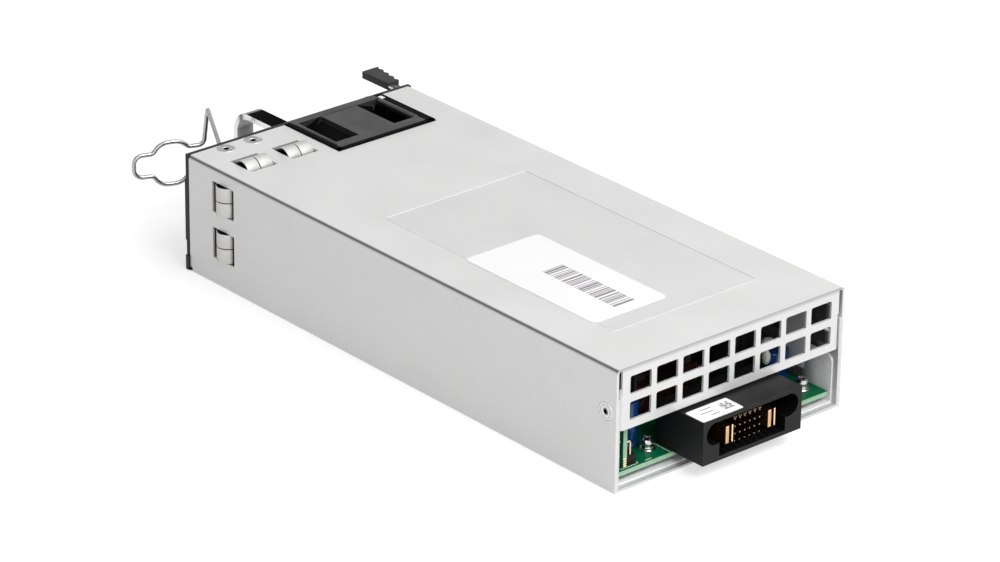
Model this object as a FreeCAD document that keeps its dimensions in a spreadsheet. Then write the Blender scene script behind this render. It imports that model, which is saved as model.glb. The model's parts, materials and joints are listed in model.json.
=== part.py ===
import FreeCAD, Part
import math
import os
import Sketcher
from FreeCAD import Placement, Rotation, Vector

# A hot swap server power supply, in millimetres.
# X runs across the casing, Y from the front panel to the output connector, Z up.
# The origin is the middle of the casing's bottom face.

doc = FreeCAD.newDocument("HotSwapSupply")
sheet = doc.addObject("Spreadsheet::Sheet", "sizes")

# Driving dimensions: name, value, what it measures.
dimensions = [
    ("case_width", 92.0, "casing across, outside the side walls"),
    ("case_length", 204.0, "casing from front panel to rear edge"),
    ("case_height", 40.0, "casing from bottom to top, one rack unit less its play"),
    ("metal", 0.8, "thickness of the folded steel sheet"),
    ("bend", 1.6, "outside radius of the folds of the cover"),
    ("gap", 0.1, "play between pieces that lie side by side"),
    # front panel
    ("panel_metal", 1.2, "thickness of the front panel"),
    ("panel_flange", 9.0, "depth of the panel's folded flanges"),
    ("foot_height", 5.0, "height of the panel's corner feet"),
    ("foot_wing", 0.5, "how far the corner feet stand out sideways"),
    # cover: grille in the rear wall
    ("grille_columns", 8, "grille windows in a row"),
    ("grille_rows", 2, "rows of grille windows"),
    ("grille_side", 5.27, "side wall to the outer windows"),
    ("grille_rib", 1.98, "bar between windows side by side"),
    ("grille_bar", 2.45, "bar between the rows of windows"),
    ("grille_top", 3.4, "casing top to the upper windows"),
    ("grille_foot", 2.6, "lower windows to the grille's bottom edge"),
    ("grille_lift", 0.95, "output connector to the grille's bottom edge"),
    ("grille_corner", 0.7, "corner radius of a window"),
    ("slit_inset", 1.4, "side wall to the relief slit"),
    ("slit_width", 0.8, "width of the relief slit"),
    ("slit_depth", 7.0, "length of the relief slit below the top"),
    ("side_flange", 9.0, "depth of the grille's folded side flanges"),
    # cover: spring finger clips
    ("clip_front", 13.2, "casing front to the first slot of a clip"),
    ("clip_span", 9.9, "first slot to second slot"),
    ("clip_width", 10.2, "length of the slots"),
    ("slot_width", 1.0, "width of a slot"),
    ("clip_side", 12.8, "side wall to the middle of the outer top clip"),
    ("clip_step", 16.5, "outer to inner top clip"),
    ("clip_low", 14.2, "height of the lower side clip"),
    ("clip_high", 9.9, "casing top to the upper side clip"),
    ("finger_metal", 0.25, "thickness of the spring fingers"),
    ("finger_rise", 1.7, "how far the fingers arch outward"),
    ("finger_split", 0.5, "gap between the two fingers of a clip"),
    # cover: rivets
    ("rivet_head", 5.8, "diameter of the flush rivet heads"),
    ("rivet_shank", 3.0, "diameter of the rivet shanks"),
    ("rivet_hollow", 2.2, "diameter of the hollow in a rivet"),
    ("rivet_play", 0.05, "play of the shanks in their holes, all round"),
    ("rivet_sink", 0.45, "depth of the sunk rivet heads"),
    ("rivet_first", 12.7, "side wall to the outer top rivet"),
    ("rivet_step", 10.9, "outer to inner top rivet"),
    ("rivet_front", 3.6, "casing front to the top rivets"),
    ("rivet_rear", 4.7, "casing rear to the side rivets"),
    ("rivet_height", 25.2, "height of the side rivets"),
    # base tray
    ("tray_flange", 8.0, "height of the tray's low side flanges"),
    ("ear_height", 30.0, "height of the tray's rear ears"),
    ("ear_length", 9.4, "length of the tray's rear ears"),
    # insulator
    ("film", 0.5, "thickness of the insulator sheet"),
    ("film_height", 17.0, "height of the insulator's side walls"),
    ("film_inset", 2.0, "insulator to the casing's rear edge"),
    ("film_corner", 3.0, "corner radius of the insulator's walls"),
    # main board
    ("board_metal", 1.6, "thickness of the circuit boards"),
    ("board_ahead", 10.0, "fan to the main board"),
    ("board_lift", 3.0, "height of the main board's underside"),
    ("board_inset", 3.0, "main board to the casing's rear edge"),
    ("board_play", 0.5, "main board to the insulator's walls"),
    ("post_radius", 2.6, "radius of the press-in posts"),
    ("post_bore", 2.5, "tapping bore of the posts"),
    ("screw_body", 3.0, "diameter of the machine screws"),
    ("screw_head", 5.6, "diameter of their pan heads"),
    ("screw_crown", 2.1, "height of their pan heads"),
    ("washer_size", 7.0, "diameter of the flat washers"),
    ("washer_metal", 0.5, "thickness of the flat washers"),
    ("lock_size", 5.6, "diameter of the lock washers"),
    ("lock_metal", 0.8, "thickness of the lock washers"),
    ("screw_left", 4.5, "output connector to the rear screw on the inlet's side"),
    ("screw_right", 7.5, "side wall to the rear screw on the latch's side"),
    ("screw_rear", 8.0, "casing rear to the rear screws"),
    ("screw_front", 8.0, "side walls to the front screws"),
    ("screw_ahead", 5.0, "main board's front edge to the front screws"),
    # output connector
    ("plug_width", 40.0, "output connector across"),
    ("plug_height", 14.2, "output connector upward"),
    ("plug_depth", 20.5, "output connector front to back"),
    ("plug_proud", 10.2, "how far the connector stands out of the casing"),
    ("plug_shift", 0.5, "connector's middle from the casing's middle"),
    ("mouth_side", 6.6, "connector's end to its mouth"),
    ("mouth_wall", 1.3, "wall above and below the mouth"),
    ("mouth_depth", 8.6, "depth of the mouth"),
    ("guide_radius", 3.7, "radius of the guide sockets"),
    ("guide_inset", 5.1, "connector's end to the middle of a guide socket"),
    ("guide_rise", 9.3, "connector's bottom to the middle of a guide socket"),
    ("rib_count", 9, "ribs on the mouth's floor"),
    ("rib_pitch", 2.6, "rib to rib"),
    ("rib_size", 0.6, "width and height of a rib"),
    ("blade_metal", 0.8, "thickness of a power blade"),
    ("blade_height", 5.6, "height of a power blade"),
    ("blade_reach", 6.8, "length of a blade in the mouth"),
    ("blade_pair", 2.1, "blade to blade in a pair"),
    ("blade_out", 8.3, "connector's middle to a pair of blades"),
    ("pin_size", 0.6, "thickness of the square signal pins"),
    ("pin_columns", 6, "signal pins in a row"),
    ("pin_rows", 4, "rows of signal pins"),
    ("pin_pitch", 2.0, "signal pin to signal pin across"),
    ("pin_rise", 2.4, "signal pin to signal pin upward"),
    ("pin_reach", 6.2, "length of a signal pin in the mouth"),
    # fan
    ("fan_size", 39.7, "fan frame across and upward"),
    ("fan_length", 28.0, "fan frame front to back"),
    ("fan_middle", 32.75, "side wall by the latch to the fan's axis"),
    ("fan_play", 0.5, "fan frame to the edges of the cover's cut-out"),
    ("fan_bore", 37.0, "diameter of the fan's air duct"),
    ("fan_wall", 0.9, "wall of the air duct"),
    ("fan_front", 3.0, "thickness of the fan's front flange"),
    ("fan_rear", 5.4, "thickness of the fan's rear flange"),
    ("fan_flat", 7.3, "half width of the duct's flat on each side"),
    ("fan_rail", 2.9, "width of the corner rails"),
    ("fan_hole", 3.4, "screw holes in the fan's flanges"),
    ("fan_holes", 32.0, "hole to hole across the fan"),
    ("hub_radius", 10.5, "radius of the rotor's hub"),
    ("hub_length", 19.0, "length of the rotor's hub"),
    ("hub_metal", 0.9, "wall of the rotor's hub"),
    ("blade_count", 7, "fan blades"),
    ("blade_chord", 13.0, "length of a fan blade along the flow"),
    ("blade_thin", 1.0, "thickness of a fan blade"),
    ("blade_root", 38.0, "angle of a blade to the flow at the hub"),
    ("blade_tip", 52.0, "angle of a blade to the flow at its tip"),
    ("tip_play", 0.6, "blade tips to the duct"),
    ("motor_radius", 9.6, "radius of the motor's base"),
    ("motor_base", 3.0, "thickness of the motor's base"),
    ("strut_width", 2.2, "width of the struts that hold the motor"),
    ("shaft_size", 3.0, "diameter of the fan's shaft"),
    ("bearing_size", 6.0, "outside diameter of the fan's bearings"),
    ("bearing_length", 2.5, "length of a bearing"),
    ("tube_size", 8.0, "outside diameter of the bearing tube"),
    ("stator_radius", 7.6, "radius of the stator"),
    ("shaft_play", 0.02, "play of the shaft in its bearings"),
    ("guard_band", 1.4, "width of the rings and ribs punched in the panel before the fan"),
    ("guard_boss", 3.6, "radius of the disc in the middle of the rings"),
    ("guard_rings", 3, "rings of slots before the fan"),
    ("guard_slot", 2.9, "width of a ring of slots"),
    # inlet
    ("inlet_side", 15.2, "side wall to the middle of the inlet"),
    ("inlet_height", 20.0, "height of the inlet's middle"),
    ("inlet_wide", 27.0, "inlet body across"),
    ("inlet_tall", 19.8, "inlet body upward"),
    ("inlet_cut", 3.6, "cut corners of the inlet body"),
    ("inlet_wall", 1.6, "wall of the inlet's socket"),
    ("inlet_depth", 16.5, "depth of the inlet's socket"),
    ("inlet_back", 4.0, "thickness of the inlet's back"),
    ("inlet_rim", 0.9, "how far the inlet's flange covers the panel"),
    ("inlet_flange", 1.6, "thickness of the inlet's flange"),
    ("contact_wide", 4.0, "width of an inlet contact"),
    ("contact_metal", 2.0, "thickness of an inlet contact"),
    ("contact_reach", 14.0, "length of a contact in the socket"),
    ("contact_out", 7.0, "middle to the outer contacts"),
    ("contact_drop", 2.0, "outer contacts and earth contact from mid height"),
    ("contact_tail", 5.0, "length of the contacts' tails behind the inlet"),
    # bail
    ("wire", 1.5, "diameter of the bail's wire"),
    ("lug_reach", 4.0, "how far the bail's lugs stand out of the panel"),
    ("lug_width", 6.0, "width of a lug"),
    ("lug_metal", 1.2, "thickness of a lug"),
    ("lug_play", 0.05, "play of the wire in a lug, all round"),
    ("bail_height", 17.6, "inlet's middle to the bail's arms"),
    ("bail_pivot", 2.6, "casing front to the bail's axis"),
    ("bail_reach", 28.1, "bail's axis to its corner, outward"),
    ("bail_swing", 16.4, "bail's axis to its corner, sideways"),
    ("bail_root", 5.1, "half height of the bail between its legs"),
    ("bail_neck", 3.9, "half height of the bail's finger tab"),
    ("bail_bulge", 7.45, "radius of the bail's round loop"),
    ("bail_loop", 12.3, "bail's corner to the middle of the loop"),
    ("bail_length", 25.2, "bail's corner to its finger tab"),
    ("bail_turn", 21.2, "turn of the loop from the panel's plane"),
    ("bail_lean", 1.4, "lean of the bail's legs toward the tab"),
    ("bail_round", 2.2, "radius of the wire's bends"),
    ("bail_corner", 1.5, "radius of the bends where the arms turn into the loop's plane"),
    ("bail_arc", 5.6, "radius of the arcs that make the loop round"),
    ("bail_tab", 3.0, "radius of the tab's corners"),
    # handle
    ("handle_side", 38.2, "side wall to the handle"),
    ("handle_width", 6.6, "width of the handle's strap"),
    ("handle_metal", 2.0, "thickness of the strap"),
    ("handle_reach", 24.2, "how far the handle stands out of the panel"),
    ("handle_drop", 2.2, "casing top and bottom to the handle"),
    ("handle_foot", 5.6, "length of the feet turned inward"),
    ("handle_round", 7.5, "outside radius of the handle's corners"),
    ("stud_size", 2.4, "diameter of the rivets that hold the handle"),
    ("stud_head", 3.2, "diameter of their heads"),
    ("stud_crown", 0.9, "height of their heads"),
    # latch
    ("lever_metal", 0.8, "thickness of the latch lever"),
    ("lever_width", 3.0, "width of the lever's stem"),
    ("lever_side", 2.8, "side wall to the middle of the stem"),
    ("lever_pivot", 22.0, "casing front to the lever's pivot"),
    ("lever_axis", 6.2, "side wall to the lever's pivot"),
    ("pivot_size", 3.0, "diameter of the pivot pin"),
    ("pivot_play", 0.05, "play of the pin in the lever, all round"),
    ("tooth_reach", 2.2, "how far the catch stands out of the casing"),
    ("tooth_front", 5.0, "casing front to the catch"),
    ("tooth_swing", 1.5, "room in the window before the catch, which swings forward as it draws in"),
    ("tooth_length", 6.0, "length of the catch"),
    ("tooth_height", 4.0, "height of the catch"),
    ("tooth_drop", 3.2, "casing top to the catch's window"),
    ("grip_near", 6.0, "casing front to the grip"),
    ("grip_length", 13.4, "length of the grip"),
    ("grip_height", 2.5, "thickness of the grip"),
    ("grip_socket", 8.0, "length of the lever's end held in the grip"),
    ("grip_root", 4.8, "width of the grip by the panel"),
    ("grip_end", 6.9, "width of the grip at its end"),
    ("grip_inner", 1.7, "stem's middle to the grip's inner edge"),
    ("grip_scallops", 4, "scallops along the grip"),
    ("grip_scallop", 1.5, "radius of a scallop"),
    ("grip_bite", 0.6, "depth of a scallop"),
    ("latch_travel", 13.0, "turn of the lever when pressed, in degrees"),
    # status light
    ("light_size", 3.0, "diameter of the status light"),
    ("light_side", 6.85, "fan to the middle of the status light"),
    ("light_height", 8.0, "height of the status light"),
    ("light_proud", 1.2, "how far the status light stands out"),
    # parts on the main board, from the nearer side wall and from the board's front or rear edge
    ("part_play", 1.0, "room between neighbouring parts"),
    ("card_inset", 1.2, "main board's side to the control card"),
    ("card_rear", 0.8, "main board's rear edge to the control card"),
    ("card_length", 38.0, "length of the control card"),
    ("card_height", 24.0, "height of the control card"),
    ("header_pins", 4, "pins of the card's header"),
    ("header_pitch", 2.0, "pin to pin of the header"),
    ("header_size", 2.5, "width and height of the header"),
    ("crimp_height", 2.2, "foot to crimp groove of a capacitor can"),
    ("crimp_width", 1.0, "width of the crimp groove"),
    ("filter_side", 13.0, "side wall to the filter capacitor"),
    ("filter_rear", 12.5, "rear edge to the filter capacitor"),
    ("filter_radius", 4.0, "radius of the filter capacitor"),
    ("filter_height", 21.0, "height of the filter capacitor"),
    ("smooth_count", 3, "output capacitors in their row"),
    ("smooth_side", 19.5, "side wall to the output capacitors"),
    ("smooth_rear", 17.0, "rear edge to the first output capacitor"),
    ("smooth_radius", 5.0, "radius of the output capacitors"),
    ("smooth_height", 21.5, "height of the output capacitors"),
    ("bulk_count", 2, "bulk capacitors"),
    ("bulk_side", 27.5, "side wall to the bulk capacitors"),
    ("bulk_front", 57.0, "front edge to the first bulk capacitor"),
    ("bulk_radius", 12.0, "radius of the bulk capacitors"),
    ("bulk_head", 2.6, "room over the bulk capacitors"),
    ("choke_side", 39.0, "side wall to the output choke"),
    ("choke_rear", 24.0, "rear edge to the output choke"),
    ("choke_outer", 12.0, "outer radius of its core"),
    ("choke_inner", 6.5, "inner radius of its core"),
    ("choke_width", 8.0, "width of its core"),
    ("choke_wire", 1.4, "thickness of its wire"),
    ("choke_turns", 14, "turns of its winding"),
    ("boost_out", 15.0, "middle line to the boost choke"),
    ("boost_front", 22.0, "front edge to the boost choke"),
    ("boost_outer", 13.0, "outer radius of its core"),
    ("boost_inner", 7.0, "inner radius of its core"),
    ("boost_width", 12.0, "width of its core"),
    ("boost_wire", 1.2, "thickness of its wire"),
    ("boost_turns", 16, "turns of its winding"),
    ("common_side", 30.0, "side wall to the filter choke"),
    ("common_front", 30.0, "front edge to the filter choke"),
    ("common_outer", 11.0, "outer radius of its core"),
    ("common_inner", 6.0, "inner radius of its core"),
    ("common_width", 9.0, "width of its core"),
    ("common_wire", 1.1, "thickness of its wire"),
    ("common_turns", 12, "turns of its winding"),
    ("former_side", 16.5, "side wall to the transformer"),
    ("former_front", 78.0, "front edge to the transformer's middle"),
    ("former_depth", 22.0, "depth of its core"),
    ("former_head", 4.6, "room over its core"),
    ("former_leg", 11.0, "width of its middle leg"),
    ("former_bulge", 4.5, "how far its winding stands out of the core"),
    ("sink_head", 3.6, "room over the heatsinks"),
    ("sink_inset", 2.0, "main board's side to the heatsinks"),
    ("sink_rear", 27.0, "rear edge to the output heatsink"),
    ("sink_width", 9.0, "width of the output heatsink"),
    ("sink_depth", 24.0, "depth of the output heatsink's fins"),
    ("sink_fins", 4, "fins of the output heatsink"),
    ("sink_metal", 1.2, "thickness of its plate and fins"),
    ("rail_front", 14.0, "front edge to the primary heatsink"),
    ("rail_rear", 16.0, "output heatsink to the primary heatsink"),
    ("rail_metal", 2.5, "thickness of the primary heatsink"),
    ("rail_foot", 9.0, "width of its folded top"),
    ("device_count", 4, "power transistors on the primary heatsink"),
    ("device_width", 10.2, "width of a power transistor"),
    ("device_height", 15.5, "height of a power transistor"),
    ("device_metal", 4.5, "thickness of a power transistor"),
    ("device_lift", 4.0, "main board to the transistors' bodies"),
    ("lead_pitch", 2.54, "lead to lead of a transistor"),
    ("relay_side", 9.0, "side wall to the relay's middle"),
    ("relay_front", 58.0, "front edge to the relay"),
    ("relay_width", 11.0, "width of the relay"),
    ("relay_length", 24.0, "length of the relay"),
    ("relay_height", 20.0, "height of the relay"),
    ("film_count", 2, "film capacitors"),
    ("film_side", 16.0, "side wall to the film capacitors"),
    ("film_front", 15.0, "front edge to the first film capacitor"),
    ("film_wide", 12.0, "width of a film capacitor"),
    ("film_thick", 14.0, "thickness of a film capacitor"),
    ("film_tall", 20.0, "height of a film capacitor"),
    ("fuse_out", 10.0, "middle line to the fuse"),
    ("fuse_front", 8.0, "front edge to the fuse"),
    ("fuse_length", 20.0, "length of the fuse"),
    ("fuse_radius", 2.6, "radius of the fuse"),
    ("fuse_cap", 5.0, "length of a fuse cap"),
    ("bridge_out", 30.0, "middle line to the bridge rectifier"),
    ("bridge_front", 6.0, "front edge to the bridge rectifier"),
    ("bridge_width", 22.0, "width of the bridge rectifier"),
    ("bridge_height", 15.0, "height of the bridge rectifier"),
    ("bridge_metal", 4.6, "thickness of the bridge rectifier"),
    ("ribbed_side", 25.5, "side wall to the moulded choke"),
    ("ribbed_rear", 16.0, "rear edge to the moulded choke"),
    ("ribbed_width", 8.0, "width of the moulded choke"),
    ("ribbed_depth", 12.0, "depth of the moulded choke"),
    ("ribbed_height", 24.0, "height of the moulded choke"),
    ("ribbed_ribs", 4, "ribs of the moulded choke"),
    ("ribbed_rib", 1.2, "depth of the ribs"),
]


class Size:
    # A dimension: its formula in the document and its value now.
    def __init__(self, text, value):
        self.text = text
        self.value = value

    def __add__(self, other):
        return joined(self, "+", other)

    def __radd__(self, other):
        return joined(other, "+", self)

    def __sub__(self, other):
        return joined(self, "-", other)

    def __rsub__(self, other):
        return joined(other, "-", self)

    def __mul__(self, other):
        return joined(self, "*", other)

    def __rmul__(self, other):
        return joined(other, "*", self)

    def __truediv__(self, other):
        return joined(self, "/", other)

    def __neg__(self):
        return joined(0, "-", self)


def sized(number):
    if isinstance(number, Size):
        return number
    return Size(repr(float(number)), float(number))


def joined(first, sign, second):
    first = sized(first)
    second = sized(second)
    results = {
        "+": first.value + second.value,
        "-": first.value - second.value,
        "*": first.value * second.value,
        "/": first.value / second.value if second.value else 0.0,
    }
    return Size(f"({first.text} {sign} {second.text})", results[sign])


def root(size):
    return Size(f"sqrt({size.text})", math.sqrt(size.value))


def sine(angle):
    return Size(f"sin({angle.text})", math.sin(math.radians(angle.value)))


def cosine(angle):
    return Size(f"cos({angle.text})", math.cos(math.radians(angle.value)))


class Sizes:
    pass


s = Sizes()
for row, (name, number, meaning) in enumerate(dimensions, start=1):
    sheet.set(f"A{row}", name)
    sheet.set(f"B{row}", str(number))
    sheet.set(f"C{row}", meaning)
    sheet.setAlias(f"B{row}", name)
    setattr(s, name, Size(f"sizes.{name}", float(number)))
doc.recompute()

# How far each axis lies along its sketch plane's normal: the XZ plane faces -Y.
planes = {"x": "YZ_Plane", "y": "XZ_Plane", "z": "XY_Plane"}
turns = {
    "x": Rotation(Vector(0, 1, 0), 90),
    "y": Rotation(Vector(1, 0, 0), -90),
    "z": Rotation(),
}
sub_parts = []


def bind(thing, name, size):
    thing.setExpression(name, sized(size).text)


def place(thing, x, y, z):
    bind(thing, "Placement.Base.x", x)
    bind(thing, "Placement.Base.y", y)
    bind(thing, "Placement.Base.z", z)


def sub_part(label, thing):
    thing.Label = label
    sub_parts.append(thing)
    return thing


def new_body(label):
    return sub_part(label, doc.addObject("PartDesign::Body", "Body"))


def origin_of(body, role):
    return [item for item in body.Origin.OriginFeatures if item.Role == role][0]


# Profiles: each returns a function that draws one closed outline in a sketch.
def polygon(corners, bows=None):
    # bows gives the edges that are arcs: edge number to (radius, side the arc bulges to)
    corners = [(sized(u), sized(v)) for u, v in corners]
    bows = bows or {}

    def draw(sketch):
        first = sketch.GeometryCount
        count = len(corners)
        flat = [Vector(u.value, v.value, 0) for u, v in corners]
        ends = []
        for i in range(count):
            a = flat[i]
            b = flat[(i + 1) % count]
            if i in bows:
                radius, side = bows[i]
                arc, starts_at_a = bowed(a, b, sized(radius).value, side)
                sketch.addGeometry(arc, False)
                ends.append((1, 2) if starts_at_a else (2, 1))
            else:
                sketch.addGeometry(Part.LineSegment(a, b), False)
                ends.append((1, 2))
        for i in range(count):
            after = (i + 1) % count
            sketch.addConstraint(
                Sketcher.Constraint("Coincident", first + i, ends[i][1], first + after, ends[after][0])
            )
        for i, (u, v) in enumerate(corners):
            fix(sketch, "DistanceX", (-1, 1, first + i, ends[i][0]), u)
            fix(sketch, "DistanceY", (-1, 1, first + i, ends[i][0]), v)
        for i, (radius, side) in bows.items():
            fix(sketch, "Radius", (first + i,), radius)

    return draw


def bowed(a, b, radius, side):
    # The arc from a to b; side 1 bulges to the left of the way from a to b, side -1 to the right.
    chord = b - a
    left = Vector(-chord.y, chord.x, 0).normalize()
    middle = (a + b) / 2 - left * side * math.sqrt(radius**2 - (chord.Length / 2) ** 2)
    start, stop = (a, b) if side < 0 else (b, a)
    first = math.atan2(start.y - middle.y, start.x - middle.x)
    last = math.atan2(stop.y - middle.y, stop.x - middle.x)
    if last < first:
        last += 2 * math.pi
    return Part.ArcOfCircle(Part.Circle(middle, Vector(0, 0, 1), radius), first, last), side < 0


def rectangle(u0, u1, v0, v1):
    return polygon([(u0, v0), (u1, v0), (u1, v1), (u0, v1)])


def disc(u, v, radius):
    def draw(sketch):
        number = sketch.GeometryCount
        centre = Vector(sized(u).value, sized(v).value, 0)
        sketch.addGeometry(Part.Circle(centre, Vector(0, 0, 1), sized(radius).value), False)
        fix(sketch, "DistanceX", (-1, 1, number, 3), u)
        fix(sketch, "DistanceY", (-1, 1, number, 3), v)
        fix(sketch, "Radius", (number,), radius)

    return draw


def fix(sketch, kind, places, size):
    number = sketch.addConstraint(Sketcher.Constraint(kind, *places, sized(size).value))
    sketch.setExpression(f"Constraints[{number}]", sized(size).text)


def sketch_across(body, axis, at, *profiles):
    sketch = body.newObject("Sketcher::SketchObject", "Sketch")
    sketch.AttachmentSupport = [(origin_of(body, planes[axis]), "")]
    sketch.MapMode = "FlatFace"
    bind(sketch, "AttachmentOffset.Base.z", -sized(at) if axis == "y" else at)
    for draw in profiles:
        draw(sketch)
    return sketch


def grow(body, axis, low, high, *profiles):
    # Adds a prism between two heights along an axis.
    pad = body.newObject("PartDesign::Pad", "Pad")
    pad.Profile = sketch_across(body, axis, high if axis == "y" else low, *profiles)
    bind(pad, "Length", sized(high) - low)
    body.Tip = pad
    return pad


def carve(body, axis, low, high, *profiles):
    # Removes a prism between two heights along an axis.
    pocket = body.newObject("PartDesign::Pocket", "Pocket")
    pocket.Profile = sketch_across(body, axis, low if axis == "y" else high, *profiles)
    bind(pocket, "Length", sized(high) - low)
    body.Tip = pocket
    return pocket


def repeat(body, feature, axis, pitch, count, second=None):
    pattern = body.newObject("PartDesign::LinearPattern", "Pattern")
    pattern.Originals = [feature]
    pattern.Direction = (origin_of(body, axis + "_Axis"), [""])
    bind(pattern, "Length", pitch * (count - 1))
    bind(pattern, "Occurrences", count)
    if second:
        axis, pitch, count = second
        pattern.Direction2 = (origin_of(body, axis + "_Axis"), [""])
        bind(pattern, "Length2", pitch * (count - 1))
        bind(pattern, "Occurrences2", count)
    body.Tip = pattern
    return pattern


def round_edges(body, radius, axis, *spots):
    # Rounds the straight edges along an axis that pass through the given spots.
    doc.recompute()
    base = body.Tip
    names = []
    for number, edge in enumerate(base.Shape.Edges, start=1):
        if is_at(edge, axis, spots):
            names.append(f"Edge{number}")
    fillet = body.newObject("PartDesign::Fillet", "Fillet")
    fillet.Base = (base, names)
    bind(fillet, "Radius", radius)
    body.Tip = fillet
    return fillet


def is_at(edge, axis, spots):
    if len(edge.Vertexes) != 2 or edge.Curve.TypeId != "Part::GeomLine":
        return False
    along = "xyz".index(axis)
    across = [i for i in range(3) if i != along]
    start, end = edge.Vertexes[0].Point, edge.Vertexes[1].Point
    if any(abs(start[i] - end[i]) > 1e-6 for i in across):
        return False
    for spot in spots:
        wanted = [sized(number).value for number in spot]
        if all(abs(start[i] - number) < 1e-4 for i, number in zip(across, wanted)):
            return True
    return False


# Plain solids of the document, for pieces that are cut from blocks and rods.
def block(x0, x1, y0, y1, z0, z1):
    box = doc.addObject("Part::Box", "Block")
    bind(box, "Length", sized(x1) - x0)
    bind(box, "Width", sized(y1) - y0)
    bind(box, "Height", sized(z1) - z0)
    place(box, x0, y0, z0)
    return box


def rod(axis, x, y, z, radius, length):
    # A round bar that starts at a point and runs along an axis.
    bar = doc.addObject("Part::Cylinder", "Rod")
    bar.Placement = Placement(Vector(), turns[axis])
    bind(bar, "Radius", radius)
    bind(bar, "Height", length)
    place(bar, x, y, z)
    return bar


def joined_solids(*things):
    fuse = doc.addObject("Part::MultiFuse", "Fuse")
    fuse.Shapes = list(things)
    fuse.Refine = True
    return fuse


def less(base, *tools):
    result = doc.addObject("Part::Cut", "Cut")
    result.Base = base
    result.Tool = tools[0] if len(tools) == 1 else joined_solids(*tools)
    return result


def set_of(label, things):
    group = doc.addObject("Part::Compound", "Set")
    group.Links = things
    return sub_part(label, group)


# Levels and planes that several pieces share.
half_width = s.case_width / 2
front = -s.case_length / 2
rear = s.case_length / 2
panel_face = front - s.panel_metal
wall_inside = half_width - s.metal
tray_inside = wall_inside - s.metal
top_inside = s.case_height - s.metal
film_inside = tray_inside - s.film
board_side = film_inside - s.board_play
board_bottom = s.board_lift
board_top = s.board_lift + s.board_metal
board_rear = rear - s.board_inset
board_front = front + s.fan_length + s.board_ahead
fan_x = s.fan_middle - half_width
light_x = fan_x + s.fan_size / 2 + s.light_side
fan_z = s.metal + s.fan_size / 2
inlet_x = half_width - s.inlet_side
grille_bottom = board_top + s.plug_height + s.grille_lift
lowest_window = grille_bottom + s.grille_foot
window_space = s.case_height - s.grille_top - lowest_window - s.grille_bar * (s.grille_rows - 1)
window_height = window_space / s.grille_rows
window_row = s.case_width - 2 * s.grille_side - s.grille_rib * (s.grille_columns - 1)
window_width = window_row / s.grille_columns
connector_left = s.plug_shift + s.plug_width / 2
connector_right = s.plug_shift - s.plug_width / 2
sink_top = top_inside - s.sink_head


def clip_places_top():
    outer = half_width - s.clip_side
    return [outer, outer - s.clip_step]


def clip_levels_side():
    return [s.clip_low, s.case_height - s.clip_high]


def clip_slots(middle):
    # The two slots of a clip, across the pull-out direction, round a middle line.
    start = front + s.clip_front
    low = middle - s.clip_width / 2
    high = middle + s.clip_width / 2
    half = s.slot_width / 2
    second = start + s.clip_span
    return low, high, [(start - half, start + half), (second - half, second + half)]


def top_cover():
    body = new_body("top_cover")
    walls = [
        (half_width, 0), (half_width, s.case_height), (-half_width, s.case_height), (-half_width, 0),
        (-wall_inside, 0), (-wall_inside, top_inside), (wall_inside, top_inside), (wall_inside, 0),
    ]
    grow(body, "y", front, rear, polygon(walls))
    inner_bend = s.bend - s.metal
    round_edges(body, s.bend, "y", (half_width, s.case_height), (-half_width, s.case_height))
    round_edges(body, inner_bend, "y", (wall_inside, top_inside), (-wall_inside, top_inside))
    grille(body)
    fan_left = fan_x + s.fan_size / 2 + s.fan_play
    fan_right = fan_x - s.fan_size / 2 - s.fan_play
    fan_end = front + s.fan_length + s.fan_play
    carve(body, "z", top_inside - s.bend, s.case_height, rectangle(fan_right, fan_left, front, fan_end))
    for middle in clip_places_top():
        low, high, slots = clip_slots(middle)
        shapes = [rectangle(low, high, start, end) for start, end in slots]
        carve(body, "z", top_inside, s.case_height, *shapes)
    for level in clip_levels_side():
        low, high, slots = clip_slots(level)
        shapes = [rectangle(start, end, low, high) for start, end in slots]
        carve(body, "x", -half_width, half_width, *shapes)
    for x in rivet_places_top():
        spot = (x, front + s.rivet_front)
        carve(body, "z", top_inside, s.case_height, disc(*spot, s.rivet_shank / 2))
        carve(body, "z", s.case_height - s.rivet_sink, s.case_height, disc(*spot, s.rivet_head / 2 + s.gap))
    spot = (rear - s.rivet_rear, s.rivet_height)
    carve(body, "x", -half_width, half_width, disc(*spot, s.rivet_shank / 2))
    seat = disc(*spot, s.rivet_head / 2 + s.gap)
    carve(body, "x", half_width - s.rivet_sink, half_width, seat)
    carve(body, "x", -half_width, s.rivet_sink - half_width, seat)
    window = rectangle(*catch_window())
    carve(body, "x", -half_width, -wall_inside, window)


def grille(body):
    # The rear wall hangs from the top and folds forward again inside both side walls.
    outside = tray_inside
    inside = outside - s.metal
    slit_bottom = s.case_height - s.slit_depth
    flange_end = rear - s.side_flange
    folded = [
        (outside, rear), (-outside, rear), (-outside, flange_end), (-inside, flange_end),
        (-inside, rear - s.metal), (inside, rear - s.metal), (inside, flange_end), (outside, flange_end),
    ]
    grow(body, "z", grille_bottom, slit_bottom, polygon(folded))
    round_edges(body, s.bend, "z", (outside, rear), (-outside, rear))
    upper = half_width - s.slit_inset - s.slit_width
    grow(body, "y", rear - s.metal, rear, rectangle(-upper, upper, slit_bottom - s.bend, s.case_height))
    first = s.grille_side - half_width
    low, high = lowest_window, lowest_window + window_height
    window = rounded(first, first + window_width, low, high, s.grille_corner)
    pocket = carve(body, "y", rear - s.metal, rear, window)
    across, upward = window_width + s.grille_rib, window_height + s.grille_bar
    repeat(body, pocket, "X", across, s.grille_columns, ("Z", upward, s.grille_rows))


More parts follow.
